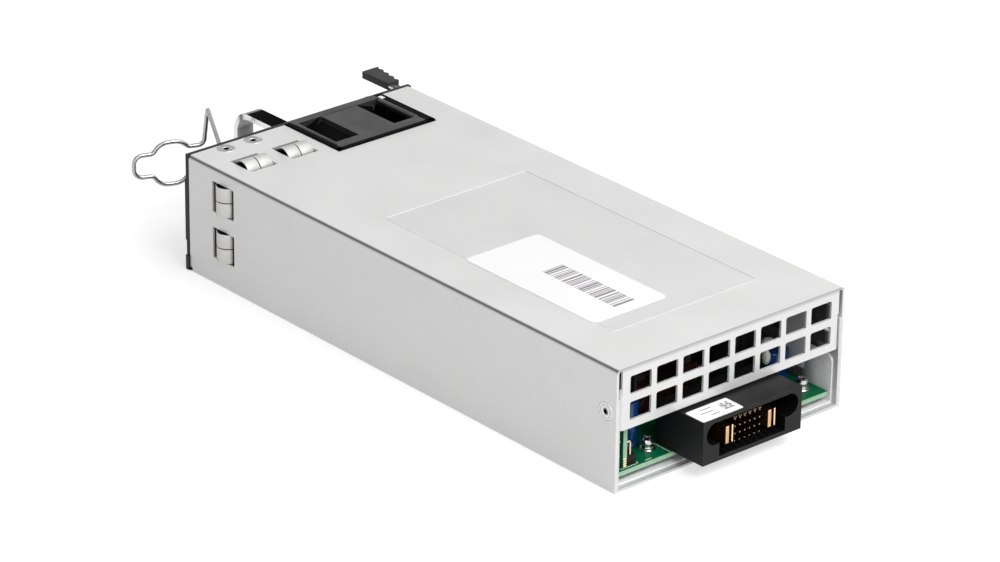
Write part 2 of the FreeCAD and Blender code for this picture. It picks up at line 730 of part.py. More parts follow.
def rounded(u0, u1, v0, v1, radius):
    # A rectangle with round corners.
    corners = [
        (u0 + radius, v0), (u1 - radius, v0), (u1, v0 + radius), (u1, v1 - radius),
        (u1 - radius, v1), (u0 + radius, v1), (u0, v1 - radius), (u0, v0 + radius),
    ]
    return polygon(corners, {1: (radius, -1), 3: (radius, -1), 5: (radius, -1), 7: (radius, -1)})


def rivet_places_top():
    outer = half_width - s.rivet_first
    return [outer, outer - s.rivet_step]


def catch_window():
    # Where the catch passes the side wall, with room to swing.
    start = front + s.tooth_front
    end = start + s.tooth_length
    top = s.case_height - s.tooth_drop
    play = 3 * s.gap
    return start - s.tooth_swing, end + play, top - s.tooth_height - play, top + play


def cover_rivets():
    # Hollow flush rivets: two hold the cover to the front panel, one in each side wall at the rear.
    rivets = []
    for x in rivet_places_top():
        rivets.append(rivet("z", (x, front + s.rivet_front, s.case_height), -1, s.metal + s.panel_metal))
    for side in (1, -1):
        place_on_wall = (side * half_width, rear - s.rivet_rear, s.rivet_height)
        rivets.append(rivet("x", place_on_wall, -side, 3 * s.metal))
    set_of("cover_rivets", rivets)


def rivet(axis, spot, way, grip):
    # A hollow rivet whose head is flush with an outer face; way is the side its shank runs to.
    head = rod_from(axis, spot, way, 0, s.rivet_head / 2, s.rivet_sink)
    shank = rod_from(axis, spot, way, 0, s.rivet_shank / 2 - s.rivet_play, grip)
    hollow = rod_from(axis, spot, way, 0, s.rivet_hollow / 2, grip)
    return less(joined_solids(head, shank), hollow)


def rod_from(axis, spot, way, start, radius, length):
    # A rod on an axis through a spot, from a distance along the given way.
    x, y, z = spot
    low = start if way > 0 else -(sized(start) + length)
    if axis == "x":
        return rod(axis, x + low, y, z, radius, length)
    if axis == "y":
        return rod(axis, x, y + low, z, radius, length)
    return rod(axis, x, y, z + low, radius, length)


def finger_clips():
    for label, axis, side, middles in (
        ("emi_fingers_top", "z", 1, clip_places_top()),
        ("emi_fingers_right", "x", 1, clip_levels_side()),
        ("emi_fingers_left", "x", -1, clip_levels_side()),
    ):
        set_of(label, [finger_clip(axis, side, middle) for middle in middles])


def finger_clip(axis, side, middle):
    # A strip of spring steel round the sheet between two slots: flat behind it, arched in front.
    body = doc.addObject("PartDesign::Body", "Clip")
    start = front + s.clip_front
    end = start + s.clip_span
    outer = side * (half_width if axis == "x" else s.case_height)
    inner = outer - side * s.metal
    back = inner - side * (s.gap + s.finger_metal)
    half = s.clip_span / 2
    low = middle - s.clip_width / 2 + s.gap
    high = middle + s.clip_width / 2 - s.gap
    split = s.finger_split / 2
    t = s.finger_metal
    arch = hoop(axis, side, start, end, back, outer, arch_radius(half, s.finger_rise))
    inner_radius = arch_radius(half - t, s.finger_rise - t)
    hollow = hoop(axis, side, start + t, end - t, back + side * t, outer, inner_radius)
    crest = outer + side * s.finger_rise
    parting = (start, end, inner, crest) if axis == "z" else (inner, crest, start, end)
    across = "x" if axis == "z" else "z"
    grow(body, across, low, high, arch)
    carve(body, across, low, high, hollow)
    carve(body, across, middle - split, middle + split, rectangle(*parting))
    return body


def arch_radius(half, rise):
    return (half * half + rise * rise) / (2 * rise)


def hoop(axis, side, start, end, back, outer, radius):
    # The outline of a clip, seen along its slots: three straight sides and an arch.
    if axis == "z":
        return polygon([(start, back), (end, back), (end, outer), (start, outer)], {2: (radius, -1)})
    return polygon([(back, start), (outer, start), (outer, end), (back, end)], {1: (radius, -side)})


def base_tray():
    body = new_body("base_tray")
    w, i = wall_inside, tray_inside
    channel = [(-w, 0), (w, 0), (w, s.tray_flange), (i, s.tray_flange)]
    channel += [(i, s.metal), (-i, s.metal), (-i, s.tray_flange), (-w, s.tray_flange)]
    grow(body, "y", front, rear, polygon(channel))
    for low, high in ((-w, -i), (i, w)):
        grow(body, "x", low, high, rectangle(rear - s.ear_length, rear, s.tray_flange, s.ear_height))
    carve(body, "x", -w, w, disc(rear - s.rivet_rear, s.rivet_height, s.rivet_shank / 2))
    bores = [disc(x, y, s.post_radius) for x, y in screw_places()]
    carve(body, "z", 0, s.metal, *bores)
    round_edges(body, s.metal, "y", (w, 0), (-w, 0))


def screw_places():
    rear_line = rear - s.screw_rear
    front_line = board_front + s.screw_ahead
    wide = half_width - s.screw_front
    return [
        (connector_left + s.screw_left, rear_line), (s.screw_right - half_width, rear_line),
        (wide, front_line), (-wide, front_line),
    ]


def insulator_tray():
    body = new_body("insulator_tray")
    w, i = tray_inside, film_inside
    start = board_front - s.board_play
    end = rear - s.film_inset
    channel = [(-w, s.metal), (w, s.metal), (w, s.film_height), (i, s.film_height)]
    channel += [(i, s.metal + s.film), (-i, s.metal + s.film), (-i, s.film_height), (-w, s.film_height)]
    grow(body, "y", start, end, polygon(channel))
    holes = [disc(x, y, s.post_radius + s.gap) for x, y in screw_places()]
    carve(body, "z", s.metal, s.metal + s.film, *holes)
    round_edges(body, s.film_corner, "x", *[(y, s.film_height) for y in (start, end)])


def main_board():
    body = new_body("main_board")
    outline = rectangle(-board_side, board_side, board_front, board_rear)
    grow(body, "z", board_bottom, board_top, outline)
    holes = [disc(x, y, s.screw_body / 2 + s.gap) for x, y in screw_places()]
    carve(body, "z", board_bottom, board_top, *holes)


def board_fasteners():
    posts, screws, flats, locks = [], [], [], []
    flat_top = board_top + s.washer_metal
    lock_top = flat_top + s.lock_metal
    for x, y in screw_places():
        post = rod("z", x, y, 0, s.post_radius, board_bottom)
        posts.append(less(post, rod("z", x, y, s.metal, s.post_bore / 2, board_bottom)))
        flats.append(washer(x, y, board_top, s.washer_size, s.washer_metal))
        locks.append(washer(x, y, flat_top, s.lock_size, s.lock_metal))
        screws.append(pan_screw("z", (x, y, lock_top), 1, lock_top - s.metal - s.gap, s.post_bore))
    set_of("board_posts", posts)
    set_of("flat_washers", flats)
    set_of("lock_washers", locks)
    set_of("board_screws", screws)


def washer(x, y, z, size, thickness):
    ring = rod("z", x, y, z, size / 2, thickness)
    return less(ring, rod("z", x, y, z, s.screw_body / 2 + s.gap, thickness))


def pan_screw(axis, spot, way, length, bore):
    # A pan head screw: its head stands on the spot, the shank runs back from it.
    head = rod_from(axis, spot, way, 0, s.screw_head / 2, s.screw_crown)
    return joined_solids(head, rod_from(axis, spot, -way, 0, bore / 2, length))


def output_connector():
    body = new_body("output_connector")
    middle = s.plug_shift
    left, right = connector_left, connector_right
    top = board_top + s.plug_height
    face = rear + s.plug_proud
    back = face - s.plug_depth
    grow(body, "y", back, face, rectangle(right, left, board_top, top))
    floor = board_top + s.mouth_wall
    mouth = rectangle(right + s.mouth_side, left - s.mouth_side, floor, top - s.mouth_wall)
    carve(body, "y", face - s.mouth_depth, face, mouth)
    for x in (right + s.guide_inset, left - s.guide_inset):
        socket = disc(x, board_top + s.guide_rise, s.guide_radius)
        carve(body, "y", face - s.mouth_depth, face, socket)
    start = middle - s.rib_pitch * (s.rib_count - 1) / 2
    rib = rectangle(start - s.rib_size / 2, start + s.rib_size / 2, floor, floor + s.rib_size)
    pad = grow(body, "y", face - s.mouth_depth, face - s.rib_size, rib)
    repeat(body, pad, "X", s.rib_pitch, s.rib_count)
    mouth_end = face - s.mouth_depth
    blades = [blade_outline(x) for x in blade_places()]
    carve(body, "y", back, mouth_end, *blades)
    half = s.pin_size / 2
    pin_left = middle - s.pin_pitch * (s.pin_columns - 1) / 2
    pin_low = pin_bottom()
    pin = rectangle(pin_left - half, pin_left + half, pin_low - half, pin_low + half)
    hole = carve(body, "y", back, mouth_end, pin)
    repeat(body, hole, "X", s.pin_pitch, s.pin_columns, ("Z", s.pin_rise, s.pin_rows))


def blade_places():
    places = []
    for side in (1, -1):
        for half in (1, -1):
            places.append(s.plug_shift + side * s.blade_out + half * s.blade_pair / 2)
    return places


def blade_middle():
    return board_top + s.plug_height / 2


def blade_outline(x):
    half_x, half_z = s.blade_metal / 2, s.blade_height / 2
    z = blade_middle()
    return rectangle(x - half_x, x + half_x, z - half_z, z + half_z)


def pin_bottom():
    return board_top + s.plug_height / 2 - s.pin_rise * (s.pin_rows - 1) / 2


def connector_contacts():
    face = rear + s.plug_proud
    back = face - s.plug_depth
    mouth_end = face - s.mouth_depth
    half = s.blade_height / 2
    low, high = blade_middle() - half, blade_middle() + half
    blades = []
    for x in blade_places():
        right, left = x - s.blade_metal / 2, x + s.blade_metal / 2
        tongue = block(right, left, back, mouth_end + s.blade_reach, low, high)
        foot = block(right, left, back - half, back, board_top, high)
        blades.append(joined_solids(tongue, foot))
    set_of("power_blades", blades)
    pins = []
    half = s.pin_size / 2
    first = s.plug_shift - s.pin_pitch * (s.pin_columns - 1) / 2
    for column in range(int(s.pin_columns.value)):
        for line in range(int(s.pin_rows.value)):
            x = first + column * s.pin_pitch
            level = pin_bottom() + line * s.pin_rise
            tail = back - (line + 1) * s.pin_pitch
            pin = block(x - half, x + half, tail, mouth_end + s.pin_reach, level - half, level + half)
            leg = block(x - half, x + half, tail - s.pin_size, tail, board_top, level + half)
            pins.append(joined_solids(pin, leg))
    set_of("signal_pins", pins)


def front_panel():
    body = new_body("front_panel")
    w = half_width
    grow(body, "y", panel_face, front, rectangle(-w, w, 0, s.case_height))
    flange_end = front + s.panel_flange
    fan_left = fan_x + s.fan_size / 2 + s.fan_play
    fan_right = fan_x - s.fan_size / 2 - s.fan_play
    top = top_inside
    low = s.metal
    t = s.panel_metal
    side = tray_inside - s.gap
    # Flanges under the cover, beside the fan, and over the bottom.
    grow(body, "z", top - t, top, rectangle(fan_left, side - s.bend, front, flange_end))
    grow(body, "z", low, low + t, rectangle(fan_left, side, front, flange_end))
    shelf_top = lever_bottom() - s.gap
    shelf = rectangle(-side, fan_right, front, front + s.lever_pivot + s.lever_width)
    grow(body, "z", shelf_top - t, shelf_top, shelf)
    start, end, catch_low, catch_high = catch_window()
    arm = s.lever_width + 2 * s.tooth_reach + s.gap
    notch = rectangle(-side, -(side - arm), start - s.tooth_front / 2, end + s.tooth_front / 2)
    carve(body, "z", shelf_top - t, shelf_top, notch)
    bore = disc(lever_axis_x(), front + s.lever_pivot, s.pivot_size / 2)
    carve(body, "z", shelf_top - t, shelf_top, bore)
    for x in rivet_places_top():
        carve(body, "z", top - t, top, disc(x, front + s.rivet_front, s.rivet_shank / 2))
    # Openings of the face.
    guard_slots(body)
    carve(body, "y", panel_face, front, inlet_outline(s.gap))
    light = disc(light_x, s.light_height, s.light_size / 2 + s.gap)
    carve(body, "y", panel_face, front, light)
    stem = stem_middle()
    sweep = (s.lever_pivot + s.panel_metal) * sine(s.latch_travel) + s.gap
    slot_side = s.lever_width / 2 + 3 * s.gap
    slot = rectangle(stem - slot_side, stem + slot_side + sweep, lever_bottom() - s.gap, top)
    carve(body, "y", panel_face, front, slot)
    holes = [disc(x, z, s.screw_body / 2 + s.gap) for x, z in fan_hole_places() if x.value < fan_x.value]
    holes += [disc(handle_middle(), z, s.stud_size / 2) for z in handle_stud_levels()]
    carve(body, "y", panel_face, front, *holes)
    # Lugs that hold the bail, above and below the inlet.
    for level in lug_levels():
        low, high = level - s.lug_metal / 2, level + s.lug_metal / 2
        half = s.lug_width / 2
        tip = front - s.bail_pivot - s.lug_reach / 2
        grow(body, "z", low, high, rectangle(inlet_x - half, inlet_x + half, tip, front))
        eye = disc(inlet_x, front - s.bail_pivot, s.wire / 2 + s.lug_play)
        carve(body, "z", low, high, eye)
    # Feet at the lower corners.
    for a, b in ((w, w + s.foot_wing), (-w - s.foot_wing, -w)):
        grow(body, "x", a, b, rectangle(panel_face, front + s.foot_wing, 0, s.foot_height))


def guard_slots(body):
    # Rings of slots before the fan, a quarter of each drawn once and turned about the fan's axis.
    half = s.guard_band / 2
    quarters = []
    inner = s.guard_boss
    for number in range(int(s.guard_rings.value)):
        outer = inner + s.guard_slot
        near = root(inner * inner - half * half)
        far = root(outer * outer - half * half)
        corners = [
            (fan_x + near, fan_z + half), (fan_x + far, fan_z + half),
            (fan_x + half, fan_z + far), (fan_x + half, fan_z + near),
        ]
        quarters.append(polygon(corners, {1: (outer, -1), 3: (inner, 1)}))
        inner = outer + s.guard_band
    slots = carve(body, "y", panel_face, front, *quarters)
    pattern = body.newObject("PartDesign::PolarPattern", "Quarters")
    pattern.Originals = [slots]
    pattern.Axis = (fan_axis(body), ["N_Axis"])
    pattern.Angle = 360
    pattern.Occurrences = 4
    body.Tip = pattern


def fan_axis(body):
    # A sketch whose normal is the fan's axis.
    axis = body.newObject("Sketcher::SketchObject", "Axis")
    axis.AttachmentSupport = [(origin_of(body, "XZ_Plane"), "")]
    axis.MapMode = "FlatFace"
    bind(axis, "AttachmentOffset.Base.x", fan_x)
    bind(axis, "AttachmentOffset.Base.y", fan_z)
    return axis


def lug_levels():
    reach = s.bail_height - s.wire / 2 - s.lug_metal / 2 - 3 * s.gap
    return [s.inlet_height + reach, s.inlet_height - reach]


def inlet_outline(play):
    # The inlet's body seen from the front: a rectangle with its two upper corners cut.
    half = s.inlet_wide / 2 + play
    low = s.inlet_height - s.inlet_tall / 2 - play
    high = s.inlet_height + s.inlet_tall / 2 + play
    cut = s.inlet_cut
    left = inlet_x + half
    right = inlet_x - half
    return polygon([
        (right, low), (left, low), (left, high - cut),
        (left - cut, high), (right + cut, high), (right, high - cut),
    ])


def fan_hole_places():
    half = s.fan_holes / 2
    return [(fan_x + a * half, fan_z + b * half) for a in (1, -1) for b in (1, -1)]


def fan():
    fan_frame()
    fan_rotor()
    fan_motor()
    fan_screws()


def fan_frame():
    half = s.fan_size / 2
    end = front + s.fan_length
    duct = s.fan_bore / 2
    solid = block(fan_x - half, fan_x + half, front, end, fan_z - half, fan_z + half)
    low = front + s.fan_front
    high = end - s.fan_rear
    inner = half - s.fan_rail
    corners = []
    for a in (1, -1):
        for b in (1, -1):
            x0, x1 = ordered(fan_x + a * s.fan_flat, fan_x + a * (half + s.gap), a)
            z0, z1 = ordered(fan_z + b * s.fan_flat, fan_z + b * (half + s.gap), b)
            corner = block(x0, x1, low, high, z0, z1)
            x2, x3 = ordered(fan_x + a * inner, fan_x + a * half, a)
            z2, z3 = ordered(fan_z + b * inner, fan_z + b * half, b)
            rail = block(x2, x3, low, high, z2, z3)
            wall = rod("y", fan_x, low, fan_z, duct + s.fan_wall, high - low)
            corners.append(less(corner, wall, rail))
    bore = rod("y", fan_x, front, fan_z, duct, s.fan_length)
    holes = [rod("y", x, front, z, s.fan_hole / 2, s.fan_length) for x, z in fan_hole_places()]
    housing = less(solid, bore, *corners, *holes)
    seat = rod("y", fan_x, end - s.motor_base, fan_z, s.motor_radius, s.motor_base)
    tube = rod("y", fan_x, tube_front(), fan_z, s.tube_size / 2, end - tube_front())
    struts = []
    for a in (1, -1):
        x0, x1 = ordered(fan_x, fan_x + a * (duct + s.fan_wall / 2), a)
        z0, z1 = ordered(fan_z, fan_z + a * (duct + s.fan_wall / 2), a)
        y0 = end - s.motor_base / 2
        struts.append(block(x0, x1, y0, end, fan_z - s.strut_width / 2, fan_z + s.strut_width / 2))
        struts.append(block(fan_x - s.strut_width / 2, fan_x + s.strut_width / 2, y0, end, z0, z1))
    whole = joined_solids(housing, seat, tube, *struts)
    middle = rod("y", fan_x, tube_front(), fan_z, s.bearing_size / 2, end - tube_front() - s.motor_base / 4)
    sub_part("fan_frame", less(whole, middle))


def ordered(first, second, way):
    return (first, second) if way > 0 else (second, first)


def hub_front():
    return front + s.fan_front


def tube_front():
    return hub_front() + s.hub_metal + 2 * s.bearing_length


def fan_rotor():
    body = new_body("fan_rotor")
    start = hub_front()
    end = start + s.hub_length
    grow(body, "y", start, end, disc(fan_x, fan_z, s.hub_radius))
    carve(body, "y", start + s.hub_metal, end, disc(fan_x, fan_z, s.hub_radius - s.hub_metal))
    boss_end = tube_front() - s.gap
    grow(body, "y", start, boss_end, disc(fan_x, fan_z, s.bearing_size / 2))
    carve(body, "y", start + s.hub_metal / 2, boss_end, disc(fan_x, fan_z, s.shaft_size / 2))
    tip = s.fan_bore / 2 - s.tip_play
    root_at = s.hub_radius - s.hub_metal / 2
    loft = body.newObject("PartDesign::AdditiveLoft", "Blade")
    sections = []
    for reach, angle in ((root_at, s.blade_root), (tip - s.blade_thin, s.blade_tip)):
        sections.append(blade_section(body, reach, angle, (start + end) / 2))
    loft.Profile = sections[0]
    loft.Sections = [sections[1]]
    loft.Ruled = True
    body.Tip = loft
    pattern = body.newObject("PartDesign::PolarPattern", "Blades")
    pattern.Originals = [loft]
    pattern.Axis = (fan_axis(body), ["N_Axis"])
    pattern.Angle = 360
    bind(pattern, "Occurrences", s.blade_count)
    body.Tip = pattern


def blade_section(body, reach, angle, y):
    # A blade's section at a distance from the fan's axis, turned from the flow by its angle.
    sketch = body.newObject("Sketcher::SketchObject", "Section")
    sketch.AttachmentSupport = [(origin_of(body, "XY_Plane"), "")]
    sketch.MapMode = "FlatFace"
    bind(sketch, "AttachmentOffset.Base.x", fan_x)
    bind(sketch, "AttachmentOffset.Base.y", y)
    bind(sketch, "AttachmentOffset.Base.z", fan_z + reach)
    half = s.blade_chord / 2
    thin = s.blade_thin / 2
    corners = []
    for u, v in ((-thin, -half), (thin, -half), (thin, half), (-thin, half)):
        corners.append((u * cosine(angle) - v * sine(angle), u * sine(angle) + v * cosine(angle)))
    polygon(corners)(sketch)
    return sketch


def fan_motor():
    end = front + s.fan_length - s.motor_base
    tail = front + s.fan_length - s.motor_base / 4
    shaft_start = hub_front() + s.hub_metal / 2
    sub_part("fan_shaft", rod("y", fan_x, shaft_start, fan_z, s.shaft_size / 2, tail - shaft_start))
    rings = []
    for y in (tube_front(), tail - s.bearing_length):
        ring = rod("y", fan_x, y, fan_z, s.bearing_size / 2, s.bearing_length)
        bore = rod("y", fan_x, y, fan_z, s.shaft_size / 2 + s.shaft_play, s.bearing_length)
        rings.append(less(ring, bore))
    set_of("fan_bearings", rings)
    start = tube_front() + s.bearing_length
    core = rod("y", fan_x, start, fan_z, s.stator_radius, end - start)
    sub_part("fan_stator", less(core, rod("y", fan_x, start, fan_z, s.tube_size / 2, end - start)))


def fan_screws():
    # The handle's feet cover the fan's other two holes.
    places = [(x, z) for x, z in fan_hole_places() if x.value < fan_x.value]
    length = s.fan_front + s.panel_metal
    screws = [pan_screw("y", (x, panel_face, z), -1, length, s.screw_body) for x, z in places]
    set_of("fan_screws", screws)


def inlet():
    body = new_body("inlet_housing")
    back = front + s.inlet_depth + s.inlet_back - s.inlet_flange - s.panel_metal
    face = panel_face - s.inlet_flange
    grow(body, "y", panel_face, back, inlet_outline(sized(0)))
    w = s.inlet_wide / 2 + s.inlet_rim
    h = s.inlet_tall / 2 + s.inlet_rim
    flange = rectangle(inlet_x - w, inlet_x + w, s.inlet_height - h, s.inlet_height + h)
    grow(body, "y", face, panel_face, flange)
    carve(body, "y", face, face + s.inlet_depth, inlet_outline(-s.inlet_wall))
    slots = [contact_outline(x, z) for x, z in contact_places()]
    carve(body, "y", face + s.inlet_depth, back, *slots)
    contacts = []
    for x, z in contact_places():
        tip = face + s.inlet_depth - s.contact_reach
        half_x, half_z = s.contact_metal / 2, s.contact_wide / 2
        tail = back + s.contact_tail
        contacts.append(block(x - half_x, x + half_x, tip, tail, z - half_z, z + half_z))
    set_of("inlet_contacts", contacts)


def contact_places():
    low = s.inlet_height - s.contact_drop
    return [
        (inlet_x - s.contact_out, low), (inlet_x + s.contact_out, low),
        (inlet_x, s.inlet_height + s.contact_drop),
    ]


def contact_outline(x, z):
    half_x, half_z = s.contact_metal / 2, s.contact_wide / 2
    return rectangle(x - half_x, x + half_x, z - half_z, z + half_z)


def rounded_path(points, radii):
    # Straight runs through the points, joined by tangent arcs of the given radii.
    edges = []
    last = points[0]
    for before, corner, after, radius in zip(points, points[1:], points[2:], radii):
        into = (corner - before).normalize()
        out = (after - corner).normalize()
        half = into.getAngle(out) / 2
        trim = radius * math.tan(half)
        start = corner - into * trim
        end = corner + out * trim
        towards = (out - into).normalize()
        middle = corner + towards * (radius / math.cos(half) - radius)
        edges.append(Part.LineSegment(last, start).toShape())
        edges.append(Part.Arc(start, middle, end).toShape())
        last = end
    edges.append(Part.LineSegment(last, points[-1]).toShape())
    return Part.Wire(edges)


def cord_bail():
    # One bent wire: a hook in each lug, arms over and under the plug, a round loop and a finger tab.
    axis_x = inlet_x.value
    axis_y = (front - s.bail_pivot).value
    corner = Vector(axis_x - s.bail_swing.value, axis_y - s.bail_reach.value, 0)
    turn = math.radians(s.bail_turn.value)
    way = Vector(math.cos(turn), -math.sin(turn), 0)
    level = s.bail_height.value
    root = s.bail_root.value
    neck = s.bail_neck.value
    bulge = s.bail_bulge.value
    centre = s.bail_loop.value
    end = s.bail_length.value
    hook = lug_hook()
    upper = [
        (None, level - hook),
        (None, level),
        (0, level),
        (s.bail_lean.value, root),
        (centre - cusp_along(bulge, root), root),
        (centre - shoulder_along(bulge, root), bulge),
        (centre + shoulder_along(bulge, neck), bulge),
        (centre + cusp_along(bulge, neck), neck),
        (end, neck),
    ]
    bend = s.bail_round.value
    hook_bend = (s.wire / 2 + 2 * s.gap).value
    arc = s.bail_arc.value
    radii = [hook_bend, s.bail_corner.value, bend, bend, arc, arc, bend, s.bail_tab.value]
    whole = upper + [(along, -height) for along, height in reversed(upper)]
    middle_z = s.inlet_height.value
    points = []
    for along, height in whole:
        flat = Vector(axis_x, axis_y, 0) if along is None else corner + way * along
        points.append(Vector(flat.x, flat.y, middle_z + height))
    path = rounded_path(points, radii + list(reversed(radii)))
    section = Part.Wire(Part.Circle(points[0], points[1] - points[0], s.wire.value / 2).toShape())
    bail = doc.addObject("Part::Feature", "Bail")
    bail.Shape = path.makePipe(Part.Face(section))
    bail.Placement = Placement()
    sub_part("cord_bail", bail)


def cusp_along(bulge, height):
    # where the loop meets a straight run at this height
    return math.sqrt(bulge**2 - height**2)


def shoulder_along(bulge, height):
    # a corner of the polygon whose sides touch the loop, between its top and the run at this height
    slant = math.atan2(height, cusp_along(bulge, height))
    half = (math.pi / 2 - slant) / 2
    return bulge / math.cos(half) * math.sin(half)


def lug_hook():
    return (s.wire / 2 + 3 * s.gap + s.lug_metal + s.wire).value


def pull_handle():
    body = new_body("pull_handle")
    left = half_width - s.handle_side
    right = left - s.handle_width
    back = panel_face
    out = back - s.handle_reach
    t = s.handle_metal
    high = s.case_height - s.handle_drop
    low = s.handle_drop
    foot_high = high - s.handle_foot
    foot_low = low + s.handle_foot
    strap = [
        (back, foot_high), (back, high), (out, high), (out, low), (back, low), (back, foot_low),
        (back - t, foot_low), (back - t, low + t), (out + t, low + t), (out + t, high - t),
        (back - t, high - t), (back - t, foot_high),
    ]
    grow(body, "x", right, left, polygon(strap))
    round_edges(body, s.handle_round, "x", (out, high), (out, low))
    round_edges(body, s.handle_round - t, "x", (out + t, low + t), (out + t, high - t))
    round_edges(body, t, "x", (back, high), (back, low))
    holes = [disc(handle_middle(), z, s.stud_size / 2) for z in handle_stud_levels()]
    carve(body, "y", back - t, back, *holes)
    studs = []
    for z in handle_stud_levels():
        spot = (handle_middle(), back - t, z)
        shank = rod_from("y", spot, 1, 0, s.stud_size / 2, t + s.panel_metal)
        studs.append(joined_solids(shank, rod_from("y", spot, -1, 0, s.stud_head / 2, s.stud_crown)))
    set_of("handle_rivets", studs)


def handle_middle():
    return half_width - s.handle_side - s.handle_width / 2


def handle_stud_levels():
    inset = s.handle_drop + (s.handle_metal + s.handle_foot) / 2
    return [s.case_height - inset, inset]


def lever_top():
    return top_inside - 2 * s.gap


def lever_bottom():
    return lever_top() - s.lever_metal


def lever_axis_x():
    return s.lever_axis - half_width


def stem_middle():
    return s.lever_side - half_width


def latch():
    latch_lever()
    latch_grip()
    axis_y = front + s.lever_pivot
    shelf = lever_bottom() - s.gap - s.panel_metal
    pin = rod("z", lever_axis_x(), axis_y, shelf, s.pivot_size / 2, lever_top() - shelf)
    sub_part("latch_pivot", pin)


def latch_lever():
    body = new_body("latch_lever")
    low, high = lever_bottom(), lever_top()
    stem = stem_middle()
    axis_x = lever_axis_x()
    axis_y = front + s.lever_pivot
    half = s.lever_width / 2
    side = -(wall_inside - 3 * s.gap)
    tooth_start = front + s.tooth_front
    tooth_end = tooth_start + s.tooth_length
    tip = front - s.grip_near - s.grip_socket
    plate = [
        (stem + half, tip), (stem + half, axis_y), (side, axis_y), (side, tooth_start - half),
        (stem - half, tooth_start - 2 * half), (stem - half, tip),
    ]
    grow(body, "z", low, high, polygon(plate))
    grow(body, "z", low, high, disc(axis_x, axis_y, s.lever_width))
    tab_low = s.case_height - s.tooth_drop - s.tooth_height
    tab = rectangle(tooth_start, tooth_end, tab_low, high)
    grow(body, "x", side, side + s.lever_metal, tab)
    tooth_top = s.case_height - s.tooth_drop
    out = -(half_width + s.tooth_reach)
    ramp_end = tooth_start + s.tooth_length / 3
    wedge = polygon([(side, tooth_start), (side, tooth_end), (out, ramp_end), (out, tooth_start)])
    grow(body, "z", tab_low, tooth_top, wedge)
    carve(body, "z", low, high, disc(axis_x, axis_y, s.pivot_size / 2 + s.pivot_play))


def latch_grip():
    # A moulded sleeve on the lever's end, wider at its tip, with scallops for the thumb.
    body = new_body("latch_grip")
    middle_z = (lever_bottom() + lever_top()) / 2
    low = middle_z - s.grip_height / 2
    high = middle_z + s.grip_height / 2
    near = front - s.grip_near
    far = near - s.grip_length
    stem = stem_middle()
    inner = stem + s.grip_inner
    outline = [(inner - s.grip_root, near), (inner - s.grip_end, far), (inner, far), (inner, near)]
    grow(body, "z", low, high, polygon(outline))
    pitch = s.grip_length / s.grip_scallops
    slope = (s.grip_end - s.grip_root) / s.grip_length
    dents = []
    for number in range(int(s.grip_scallops.value)):
        back = (number + 0.5) * pitch
        edge = inner - s.grip_root - slope * back
        dents.append(disc(edge - s.grip_scallop + s.grip_bite, near - back, s.grip_scallop))
    carve(body, "z", low, high, *dents)
    half = s.lever_width / 2
    sleeve = rectangle(stem - half, stem + half, near - s.grip_socket, near)
    carve(body, "z", lever_bottom(), lever_top(), sleeve)


def status_light():
    back = front + s.light_size
    tip = panel_face - s.light_proud
    lens = rod("y", light_x, tip, s.light_height, s.light_size / 2, back - tip)
    rim = rod("y", light_x, front, s.light_height, (s.light_size + s.light_proud) / 2, s.light_proud / 2)
    sub_part("status_light", joined_solids(lens, rim))


def control_card():
    # An upright card beside the inlet-side wall, joined to the main board by a right-angle header.
    outer = board_side - s.card_inset
    inner = outer - s.board_metal
    end = board_rear - s.card_rear
    card = block(inner, outer, end - s.card_length, end, board_top, board_top + s.card_height)
    sub_part("control_card", card)
    head_end = end - s.pin_pitch / 2
    length = s.header_pins * s.header_pitch
    low = inner - s.header_size
    header = block(low, inner, head_end - length, head_end, board_top, board_top + s.header_size)
    sub_part("card_header", header)
    pins = []
    half = s.pin_size / 2
    for number in range(int(s.header_pins.value)):
        y = head_end - s.header_pitch * (number + 0.5)
        reach = low - s.header_size / 2
        bottom = board_top + s.header_size / 2
        arm = block(reach, low, y - half, y + half, bottom, bottom + s.pin_size)
        leg = block(reach - s.pin_size, reach, y - half, y + half, board_top, bottom + s.pin_size)
        pins.append(joined_solids(arm, leg))
    set_of("header_pins", pins)


def can(x, y, radius, height):
    # An electrolytic capacitor: a can with a crimp groove round its foot.
    body = rod("z", x, y, board_top, radius, height)
    groove = less(
        rod("z", x, y, board_top + s.crimp_height, radius + s.gap, s.crimp_width),
        rod("z", x, y, board_top + s.crimp_height, radius - s.crimp_width / 2, s.crimp_width),
    )
    return less(body, groove)


def capacitors():
    y = board_rear - s.filter_rear
    sub_part("filter_capacitor", can(half_width - s.filter_side, y, s.filter_radius, s.filter_height))
    smooth = []
    for number in range(int(s.smooth_count.value)):
        x = s.smooth_side - half_width
        y = board_rear - s.smooth_rear - number * (2 * s.smooth_radius + s.part_play)
        smooth.append(can(x, y, s.smooth_radius, s.smooth_height))
    set_of("output_capacitors", smooth)
    bulk = []
    for number in range(int(s.bulk_count.value)):
        y = board_front + s.bulk_front + number * (2 * s.bulk_radius + s.part_play)
        bulk.append(can(half_width - s.bulk_side, y, s.bulk_radius, top_inside - s.bulk_head - board_top))
    set_of("bulk_capacitors", bulk)


